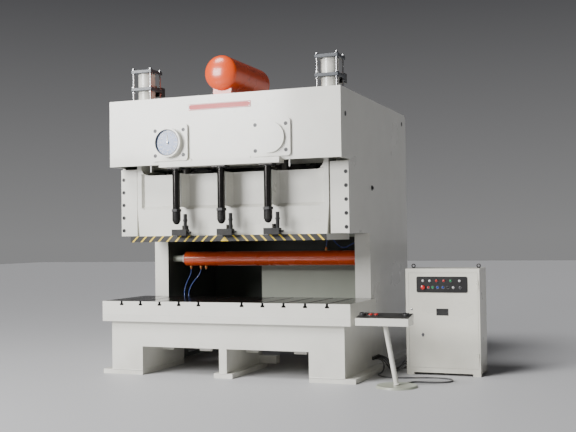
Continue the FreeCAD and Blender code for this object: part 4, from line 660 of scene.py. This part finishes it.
TANK_X, TANK_Z, TANK_RADIUS = -0.110, 3.672, 0.213
TUBE_BACK, TUBE_Z, TUBE_RADIUS = 1.280, 1.385, 0.095
shape = bmesh.new()
for back in (0.297, 0.70, 1.323):
    hoop(shape, TANK_RADIUS - 0.0036, 0.0035, at(TANK_X, back, TANK_Z), AWAY, 96, 8)
for x in (-1.113, 1.288):
    hoop(shape, TUBE_RADIUS - 0.001, 0.003, at(x, TUBE_BACK, TUBE_Z), RIGHT, 64, 8)
    hoop(shape, 0.035, 0.004, at(x, TUBE_BACK, TUBE_Z), RIGHT, 48, 8)
piece("tank_welds", shape, FINISHES["orange_red"], "frame")
shape = bmesh.new()
spun(shape, [(0, 0), (0, 0.024), (0.014, 0.024), (0.016, 0.014), (0.05, 0.014), (0.052, 0)],
     at(TANK_X, 1.412, TANK_Z - 0.06), -AWAY, 6)
for x, z, way in ((-1.051, 1.262, -UP), (-0.907, 1.262, -UP), (-0.827, 1.262, -UP), (0.874, 1.508, UP)):
    spun(shape, [(-0.026, 0), (-0.026, 0.021), (-0.006, 0.021), (-0.004, 0.012), (0.020, 0.011),
                 (0.022, 0.0075), (0.022, 0)], at(x, TUBE_BACK, z), way, 24)
for x in (-1.080, -1.020):
    spun(shape, [(0, 0), (0, 0.013), (0.012, 0.013), (0.014, 0.0105), (0.032, 0.0105), (0.034, 0.0078),
                 (0.034, 0)], at(x, 1.150, 0.765), UP, 24)
spun(shape, [(0, 0), (0, 0.013), (0.014, 0.013), (0.030, 0.0105), (0.030, 0)], at(1.308, 1.185, 1.600),
     Vector((-0.85, 0, -0.5)), 24)
piece("air_fittings", shape, BRASS, "frame")
shape = bmesh.new()
spun(shape, [(0, 0.044), (0, 0.052), (0.006, 0.055), (0.030, 0.055), (0.034, 0.052), (0.034, 0.044),
             (0, 0.044)], at(-1.165, TUBE_BACK, TUBE_Z), RIGHT, 48)
piece("throat_tank_collar", shape, WHITE, "frame")
shape = bmesh.new()
spun(shape, [(0, 0.0352), (0, 0.043), (0.175, 0.043), (0.175, 0.0352), (0, 0.0352)],
     at(-1.305, TUBE_BACK, TUBE_Z), RIGHT, 48)
piece("throat_tank_sleeve", shape, FINISHES["grey_green"], "frame")


# ---- knock-out stops, guides and frame fittings ----------------------------------------------------

shape = bmesh.new()
for x in (-0.598, 0.0, 0.598):
    for i in range(17):
        hoop(shape, 0.0506, 0.0021, at(x, 0.021, 1.874 + 0.006 * i), UP, 36, 6)
piece("stop_rod_threads", shape, FLAT_BLACK, "frame")
shape = bmesh.new()
for x in (-0.598, 0.0, 0.598):
    spun(shape, [(0, 0.046), (0, 0.062), (0.004, 0.066), (0.030, 0.066), (0.034, 0.062), (0.034, 0.046),
                 (0, 0.046)], at(x, 0.021, 1.978), UP, 6)
    spun(shape, [(0, 0.0455), (0, 0.054), (0.010, 0.054), (0.014, 0.0455), (0, 0.0455)],
         at(x, 0.021, 2.484), UP, 36)
    for dx in (-0.066, 0.066):
        for back in (-0.036, 0.064):
            hex_bolt(shape, at(x + dx, back, 2.500), -UP, 0.024, 0.014)
piece("stop_rod_nuts", shape, FINISHES["black"], "frame")

shape = bmesh.new()
for x in (-0.385, 0.385):
    hex_bolt(shape, at(x, 0, 2.597), AWAY, 0.022, 0.012)
piece("crown_screws", shape, FINISHES["cream"], "frame")
shape = bmesh.new()
for x in (-0.94, 0.875):
    spun(shape, [(0, 0), (0, 0.009), (0.083, 0.009), (0.083, 0)], at(x, 0.02, 2.470), UP, 20)
piece("hanging_pins", shape, WHITE, "frame")
shape = bmesh.new()
spun(shape, [(0, 0), (0, 0.034), (0.004, 0.034), (0.008, 0.028), (0.008, 0.020), (0.020, 0.017), (0.022, 0)],
     at(1.507, 1.225, 2.255), RIGHT, 32)
piece("side_lubricator", shape, FINISHES["black"], "frame")
shape = bmesh.new()
for back, z in ((0.168, 3.061), (2.775, 3.223)):
    for x, way in ((1.507, RIGHT), (-1.507, -RIGHT)):
        spun(shape, [(0, 0), (0, 0.030), (0.003, 0.030), (0.003, 0.022), (0.0006, 0.021), (0.0006, 0)],
             at(x, back, z), way, 32)
piece("lifting_hole_plugs", shape, FINISHES["black_plastic"], "frame")


def weld_run(shape, start, end, size=0.006):
    """A rounded bead along a corner."""
    start, end = Vector(start), Vector(end)
    long = (end - start).length
    spun(shape, [(0, 0), (0.002, size * 0.8), (0.006, size), (long - 0.006, size),
                 (long - 0.002, size * 0.8), (long, 0)], start, end - start, 10)


shape = bmesh.new()
for sign in (-1, 1):
    weld_run(shape, at(sign * 1.079, 0.014, 0.057), at(sign * 1.507, 0.014, 0.057))
    weld_run(shape, at(sign * 1.507, 0.014, 0.057), at(sign * 1.507, 2.96, 0.057))
    weld_run(shape, at(sign * 1.079, 0.06, 0.057), at(sign * 1.079, 1.09, 0.057))
    weld_run(shape, at(sign * 1.507, 0.0, 0.652), at(sign * 1.507, 0.99, 0.652))
    weld_run(shape, at(sign * 0.049, 0.05, 0.057), at(sign * 0.049, 1.09, 0.057))
weld_run(shape, at(-0.049, 0.014, 0.057), at(0.049, 0.014, 0.057))
piece("frame_welds", shape, FINISHES["cream"], "frame")

shape = bmesh.new()
for x in (-1.43, -0.72, 0.0, 0.72, 1.43):
    for z in (0.70, 1.25, 1.80, 2.35, 2.90, 3.05):
        hex_bolt(shape, at(x, 2.912, z), -AWAY, 0.018, 0.009)
piece("back_guard_screws", shape, FINISHES["chrome"], "frame")
shape = bmesh.new()
for x in (-0.95, 0.95):
    for z in (1.20, 1.36):
        spun(shape, [(0, 0), (0, 0.013), (0.004, 0.013), (0.006, 0.007), (0.045, 0.007), (0.045, 0)],
             at(x, 2.912, z), -AWAY, 20)
    spun(shape, [(0, 0), (0, 0.007), (0.174, 0.007), (0.174, 0)], at(x, 2.957, 1.193), UP, 20)
piece("back_guard_handles", shape, FINISHES["black"], "frame")


# ---- cabinet -----------------------------------------------------------------------------------------

PANEL_X, PANEL_STEP, DOOR_BACK = 2.118, 0.058, 0.949
ROW_HIGH, ROW_LOW = 1.116, 1.038
LAMP_FRONT = DOOR_BACK - 0.018


def panel_x(step):
    return PANEL_X + PANEL_STEP * (1 + step)


def lens(shape, x, back, z, radius):
    spun(shape, [(0, 0), (0, radius), (radius * 0.25, radius), (radius * 0.6, radius * 0.8),
                 (radius * 0.85, radius * 0.45), (radius * 0.92, 0)], at(x, back, z), AWAY, 32)


# Per colour: finish, slot and the steps of its lamps in the high and the low row.
LENSES = {"white": (WHITE, "cream", (0.4, 1.8, 7.9), (6.6,)),
          "red": (FINISHES["red_plastic"], "red_plastic", (3.2, 4.7), (1.5,)),
          "green": (FINISHES["green_plastic"], "green_plastic", (6.1,), ()),
          "blue": (FINISHES["blue_plastic"], "blue_plastic", (), (4.5,)),
          "grey": (FINISHES["cable_grey"], "cable_grey", (), (8,))}
STOP_STEP, START_STEP, INCH_STEP, SELECTOR_STEP = 0.4, 2.4, 3.4, 5.5
rings = bmesh.new()
for colour, (material, slot_name, high, low) in LENSES.items():
    shape = bmesh.new()
    for step in high:
        lens(shape, panel_x(step), LAMP_FRONT, ROW_HIGH, 0.0145)
    for step in low:
        lens(shape, panel_x(step), DOOR_BACK - 0.012, ROW_LOW, 0.0135)
    piece("panel_lamps_" + colour, shape, material, "door")
for step, z in [(s, ROW_HIGH) for s in (0.4, 1.8, 3.2, 4.7, 6.1, 7.9)] + \
        [(s, ROW_LOW) for s in (STOP_STEP, 1.5, START_STEP, INCH_STEP, 4.5, SELECTOR_STEP, 6.6, 8)]:
    spun(rings, [(0, 0.015), (0, 0.019), (0.0025, 0.019), (0.004, 0.0175), (0.004, 0.015), (0, 0.015)],
         at(panel_x(step), DOOR_BACK - 0.006, z), AWAY, 32)
piece("panel_rings", rings, FINISHES["chrome"], "door")


def push_button(name, body, node, slot_name, profile, stem, x, back, z):
    shape = bmesh.new()
    spun(shape, profile, at(x, back, z), AWAY, 40)
    spun(shape, [(0, 0), (0, stem), (0.026, stem), (0.026, 0)], at(x, back, z), -AWAY, 24)
    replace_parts(piece(name, shape, FINISHES[slot_name], body), node)


FLAT_CAP = [(0, 0), (0, 0.014), (0.007, 0.014), (0.009, 0.0125), (0.0085, 0.004), (0.0085, 0)]
MUSHROOM = [(0, 0), (0, 0.014), (0.006, 0.015), (0.010, 0.024), (0.013, 0.026), (0.017, 0.0245),
            (0.020, 0.017), (0.021, 0.008), (0.021, 0)]
push_button("panel_stop_cap", "panel_stop", "panel_stop_button", "red_plastic", MUSHROOM, 0.009,
            panel_x(STOP_STEP), DOOR_BACK - 0.0115, ROW_LOW)
push_button("panel_start_cap", "panel_start", "panel_start_button", "green_plastic", FLAT_CAP, 0.009,
            panel_x(START_STEP), DOOR_BACK - 0.0115, ROW_LOW)
push_button("panel_inch_cap", "panel_inch", "panel_inch_button", "blue_plastic", FLAT_CAP, 0.009,
            panel_x(INCH_STEP), DOOR_BACK - 0.0115, ROW_LOW)

shape = bmesh.new()
for x in (2.030, 2.819):
    hoop(shape, 0.020, 0.0066, at(x, 1.181, 1.286), AWAY, 40, 14)
    spun(shape, [(-0.002, 0), (-0.002, 0.019), (0.004, 0.019), (0.007, 0.0135), (0.0105, 0.0135),
                 (0.0105, 0)],
         at(x, 1.181, 1.262), UP, 32)
piece("lifting_eyes", shape, FINISHES["black"], "frame")
shape = bmesh.new()
slab(shape, at(2.351, DOOR_BACK - 0.002, 0.706), at(2.496, DOOR_BACK, 0.788))
piece("door_plate", shape, FINISHES["black_plastic"], "door", bevel=0.001)
shape = bmesh.new()
for x, z in ((2.360, 0.747), (2.487, 0.747)):
    spun(shape, [(0, 0), (0, 0.004), (0.001, 0.0035), (0.0016, 0)], at(x, DOOR_BACK - 0.002, z), AWAY, 16)
spun(shape, [(0, 0), (0, 0.012), (0.002, 0.012), (0.004, 0.008), (0.004, 0)], at(2.055, DOOR_BACK, 0.776),
     AWAY, 24)
spun(shape, [(0, 0.0065), (0, 0.019), (0.0015, 0.019), (0.003, 0.016), (0.003, 0.0065), (0, 0.0065)],
     at(2.186, DOOR_BACK, 0.476), AWAY, 32)
piece("door_screws", shape, FINISHES["chrome"], "door")
shape = bmesh.new()
for low in (0.089 + 0.090, 1.260 - 0.052 - 0.180):
    for z in (low + 0.056, low + 0.078):
        spun(shape, [(0, 0), (0, 0.0035), (0.001, 0.003), (0.0014, 0)], at(2.830, 0.9462, z), AWAY, 16)
piece("hinge_screws", shape, FINISHES["chrome"], "door")


def louvres(name, x, way):
    """Pressed cooling slots, each a low wedge standing off the side sheet."""
    shape = bmesh.new()
    for z in (0.22, 0.25, 0.28, 0.31, 0.34, 0.90, 0.93, 0.96, 0.99, 1.02):
        corners = [at(x + way * out, back, z + up) for back in (1.06, 1.30)
                   for out, up in ((-0.001, 0.0), (0.008, 0.0), (-0.001, 0.018))]
        verts = [shape.verts.new(corner) for corner in corners]
        for face in ((0, 1, 2), (3, 5, 4), (0, 3, 4, 1), (1, 4, 5, 2), (2, 5, 3, 0)):
            shape.faces.new([verts[k] for k in face])
    piece(name, shape, FINISHES["cream"], "frame")


louvres("cabinet_louvres_right", 2.864 - 0.008, 1)


# ---- cable entries -----------------------------------------------------------------------------------

def gland(shape, seat, way, radius):
    """Flat nut, body and domed clamping nut of a cable gland."""
    spun(shape, [(0, radius * 1.02), (0, radius * 1.35), (0.006, radius * 1.35), (0.008, radius * 1.2),
                 (0.008, radius * 1.02), (0, radius * 1.02)], seat, way, 6)
    spun(shape, [(0.012, radius), (0.012, radius * 1.25), (0.022, radius * 1.25), (0.028, radius * 0.85),
                 (0.0285, 0.0095), (0.012, 0.0095), (0.012, radius)], seat, way, 24)


def boot(shape, points, radius=0.009, long=0.042):
    """Tapered sleeve that keeps the cable straight where it leaves its gland."""
    start = at(*points[0])
    way = at(*points[1]) - start
    spun(shape, [(-0.004, radius * 1.01), (-0.004, radius * 1.55), (0.004, radius * 1.5),
                 (long * 0.9, radius * 1.16), (long, radius * 1.02), (-0.004, radius * 1.01)], start, way, 28)


shape = bmesh.new()
for name, (long, points) in CABLES.items():
    gland(shape, at(1.507, points[0][1], 0.150), RIGHT, 0.017)
    boot(shape, points)
    if name != "console_cable":
        gland(shape, at(1.985, *points[-1][1:]), -RIGHT, 0.017)
        boot(shape, points[::-1])
boot(shape, CABLES["console_cable"][1][::-1], radius=0.0078, long=0.034)
piece("cable_glands", shape, FINISHES["rubber"], "frame")


# ---- console -----------------------------------------------------------------------------------------

TILT = math.atan2(0.038, 0.250)
DESK = at(1.982, -0.020, 0.776)       # middle of the sloping top
DESK_UP = Vector((0, -math.sin(TILT), math.cos(TILT)))
DESK_BACK = Vector((0, math.cos(TILT), math.sin(TILT)))
SHARES = {"run_left": 0.09, "stop": 0.24, "top_stop": 0.345, "run_right": 0.91}


def on_desk(share):
    return DESK + RIGHT * (0.596 * (share - 0.5))


def loop_of(shape, points):
    verts = [shape.verts.new(point) for point in points]
    return [shape.edges.new((verts[i], verts[(i + 1) % len(verts)])) for i in range(len(verts))]


shape = bmesh.new()
half_wide, half_deep = 0.294, 0.1225
edges = loop_of(shape, [DESK + RIGHT * u * half_wide + DESK_BACK * v * half_deep
                        for u, v in ((-1, -1), (1, -1), (1, 1), (-1, 1))])
for name, share in SHARES.items():
    radius = 0.0372 if name.startswith("run") else 0.0246
    edges += loop_of(shape, [on_desk(share) + radius * (RIGHT * math.cos(a) + DESK_BACK * math.sin(a))
                             for a in [2 * math.pi * i / 40 for i in range(40)]])
bmesh.ops.triangle_fill(shape, edges=edges, use_beauty=True)
top = bmesh.ops.extrude_face_region(shape, geom=shape.faces[:])["geom"]
for vert in [part for part in top if isinstance(part, bmesh.types.BMVert)]:
    vert.co += DESK_UP * 0.003
piece("console_top_plate", shape, FLAT_BLACK, "frame")

shape = bmesh.new()
for share in (SHARES["run_left"], SHARES["run_right"]):
    spun(shape, [(-0.0004, 0.0306), (-0.0004, 0.0384), (0.028, 0.0384), (0.0306, 0.0366), (0.0306, 0.0324),
                 (0.028, 0.0306), (-0.0004, 0.0306)], on_desk(share), DESK_UP, 48)
piece("console_guards", shape, FINISHES["black_plastic"], "frame")
shape = bmesh.new()
for name in ("stop", "top_stop"):
    spun(shape, [(0.0002, 0.0248), (0.0002, 0.0295), (0.0055, 0.0295), (0.0065, 0.028), (0.0065, 0.0248),
                 (0.0002, 0.0248)], on_desk(SHARES[name]), DESK_UP, 48)
piece("console_button_rings", shape, FINISHES["chrome"], "frame")
for name, share in SHARES.items():
    shape = bmesh.new()
    spun(shape, [(0.0072, 0), (0.0072, 0.014), (0.011, 0.0215), (0.0145, 0.024), (0.018, 0.0235),
                 (0.0212, 0.018), (0.0228, 0.009), (0.023, 0)], on_desk(share), DESK_UP, 40)
    spun(shape, [(-0.009, 0), (-0.009, 0.009), (0.010, 0.009), (0.010, 0)], on_desk(share), DESK_UP, 24)
    slot_name = "black_plastic" if name.startswith("run") else "red_plastic"
    node = {"run_left": "run_button_left", "run_right": "run_button_right", "stop": "stop_button",
            "top_stop": "top_stop_button"}[name]
    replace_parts(piece(node + "_mushroom", shape, FINISHES[slot_name], name), node)

shape = bmesh.new()
leg_foot, leg_head = at(2.110, -0.020, 0.012), at(1.990, -0.020, 0.674)
way = leg_head - leg_foot
spun(shape, [(0.014, 0.0262), (0.014, 0.036), (0.020, 0.036), (0.026, 0.0275), (way.length - 0.012, 0.0275),
             (way.length - 0.012, 0.0262), (0.014, 0.0262)], leg_foot, way, 40)
piece("console_leg_sleeve", shape, FINISHES["cream"], "frame")
shape = bmesh.new()
slab(shape, at(1.930, -0.080, 0.668), at(2.050, 0.040, 0.674))
piece("console_flange", shape, FINISHES["cream"], "frame", bevel=0.002)
shape = bmesh.new()
for dx in (-0.048, 0.048):
    for back in (-0.068, 0.028):
        hex_bolt(shape, at(1.990 + dx, back, 0.668), -UP, 0.012, 0.007)
piece("console_flange_bolts", shape, FINISHES["chrome"], "frame")

refinish("dial", FINISHES["cream"])
for name in ("side_frame_left", "side_frame_right"):
    refinish(name, FRAME_SIDES)
refinish("bolster_plate", BOLSTER)
refinish("back_guard", GUARD)
refinish("stop_rods", DARK_STEEL)
for name in ("knockout_bar_left", "knockout_bar_centre", "knockout_bar_right"):
    refinish(name, FLAT_BLACK)
for name in ("cabinet_body", "cabinet_door"):
    refinish(name, IVORY)


# ---- camera, floor and light -----------------------------------------------------------------------

camera = bpy.data.objects.new("camera", bpy.data.cameras.new("camera"))
bpy.context.collection.objects.link(camera)
YAW, PITCH, ROLL = (math.radians(angle) for angle in (21.2, 1.372, -0.764))
ahead = Vector((-math.sin(YAW) * math.cos(PITCH), math.cos(YAW) * math.cos(PITCH), math.sin(PITCH)))
level = Vector((math.cos(YAW), math.sin(YAW), 0))
above = level.cross(ahead)
across = math.cos(ROLL) * level + math.sin(ROLL) * above
upward = -math.sin(ROLL) * level + math.cos(ROLL) * above
camera.matrix_world = Matrix.Translation((4.701, -11.412, 1.643)) @ Matrix(
    (across, upward, -ahead)).transposed().to_4x4()
camera.data.sensor_width = 36
camera.data.lens = 57.903
bpy.context.scene.camera = camera

floor_shape = bmesh.new()
slab(floor_shape, (-40, -30, -0.05), (40, 50, 0))
floor_mesh = bpy.data.meshes.new("floor")
floor_shape.to_mesh(floor_mesh)
floor_shape.free()
floor = bpy.data.objects.new("floor", floor_mesh)
bpy.context.collection.objects.link(floor)
floor_paint, tree, shader = blank("pale floor")
shader.inputs["Base Color"].default_value = (0.5, 0.5, 0.51, 1)
shader.inputs["Roughness"].default_value = 0.6
floor_mesh.materials.append(floor_paint)

world = bpy.data.worlds.new("studio")
world.use_nodes = True
tree = world.node_tree
apart = tree.nodes.new("ShaderNodeSeparateXYZ")
link(tree, tree.nodes.new("ShaderNodeTexCoord").outputs["Generated"], apart.inputs[0])
rise = ramp(tree, apart.outputs["Z"], 0.0, 0.30)
link(tree, blend(tree, rise, (0.25, 0.25, 0.252), (0.05, 0.05, 0.055)),
     tree.nodes["Background"].inputs["Color"])
tree.nodes["Background"].inputs["Strength"].default_value = 1.0
bpy.context.scene.world = world


def soft_light(name, place, target, size, power):
    lamp = bpy.data.lights.new(name, "AREA")
    lamp.shape = "RECTANGLE"
    lamp.size, lamp.size_y = size
    lamp.energy = power
    item = bpy.data.objects.new(name, lamp)
    bpy.context.collection.objects.link(item)
    item.location = place
    item.rotation_euler = (Vector(target) - Vector(place)).to_track_quat("-Z", "Y").to_euler()


def sun(name, direction, strength, spread):
    lamp = bpy.data.lights.new(name, "SUN")
    lamp.energy, lamp.angle = strength, math.radians(spread)
    item = bpy.data.objects.new(name, lamp)
    bpy.context.collection.objects.link(item)
    item.rotation_euler = Vector(direction).to_track_quat("-Z", "Y").to_euler()


sun("sky", (0.5, 0.65, -1.0), 3.1, 26)
soft_light("key", (-5.5, -11.0, 5.5), (0, -1.0, 1.8), (5, 4), 1750)
soft_light("fill", (8.0, -9.0, 3.5), (1, -1.0, 1.4), (4, 4), 12)
soft_light("back", (4.2, 10.0, 3.5), (1, 1, 2), (4, 4), 8)
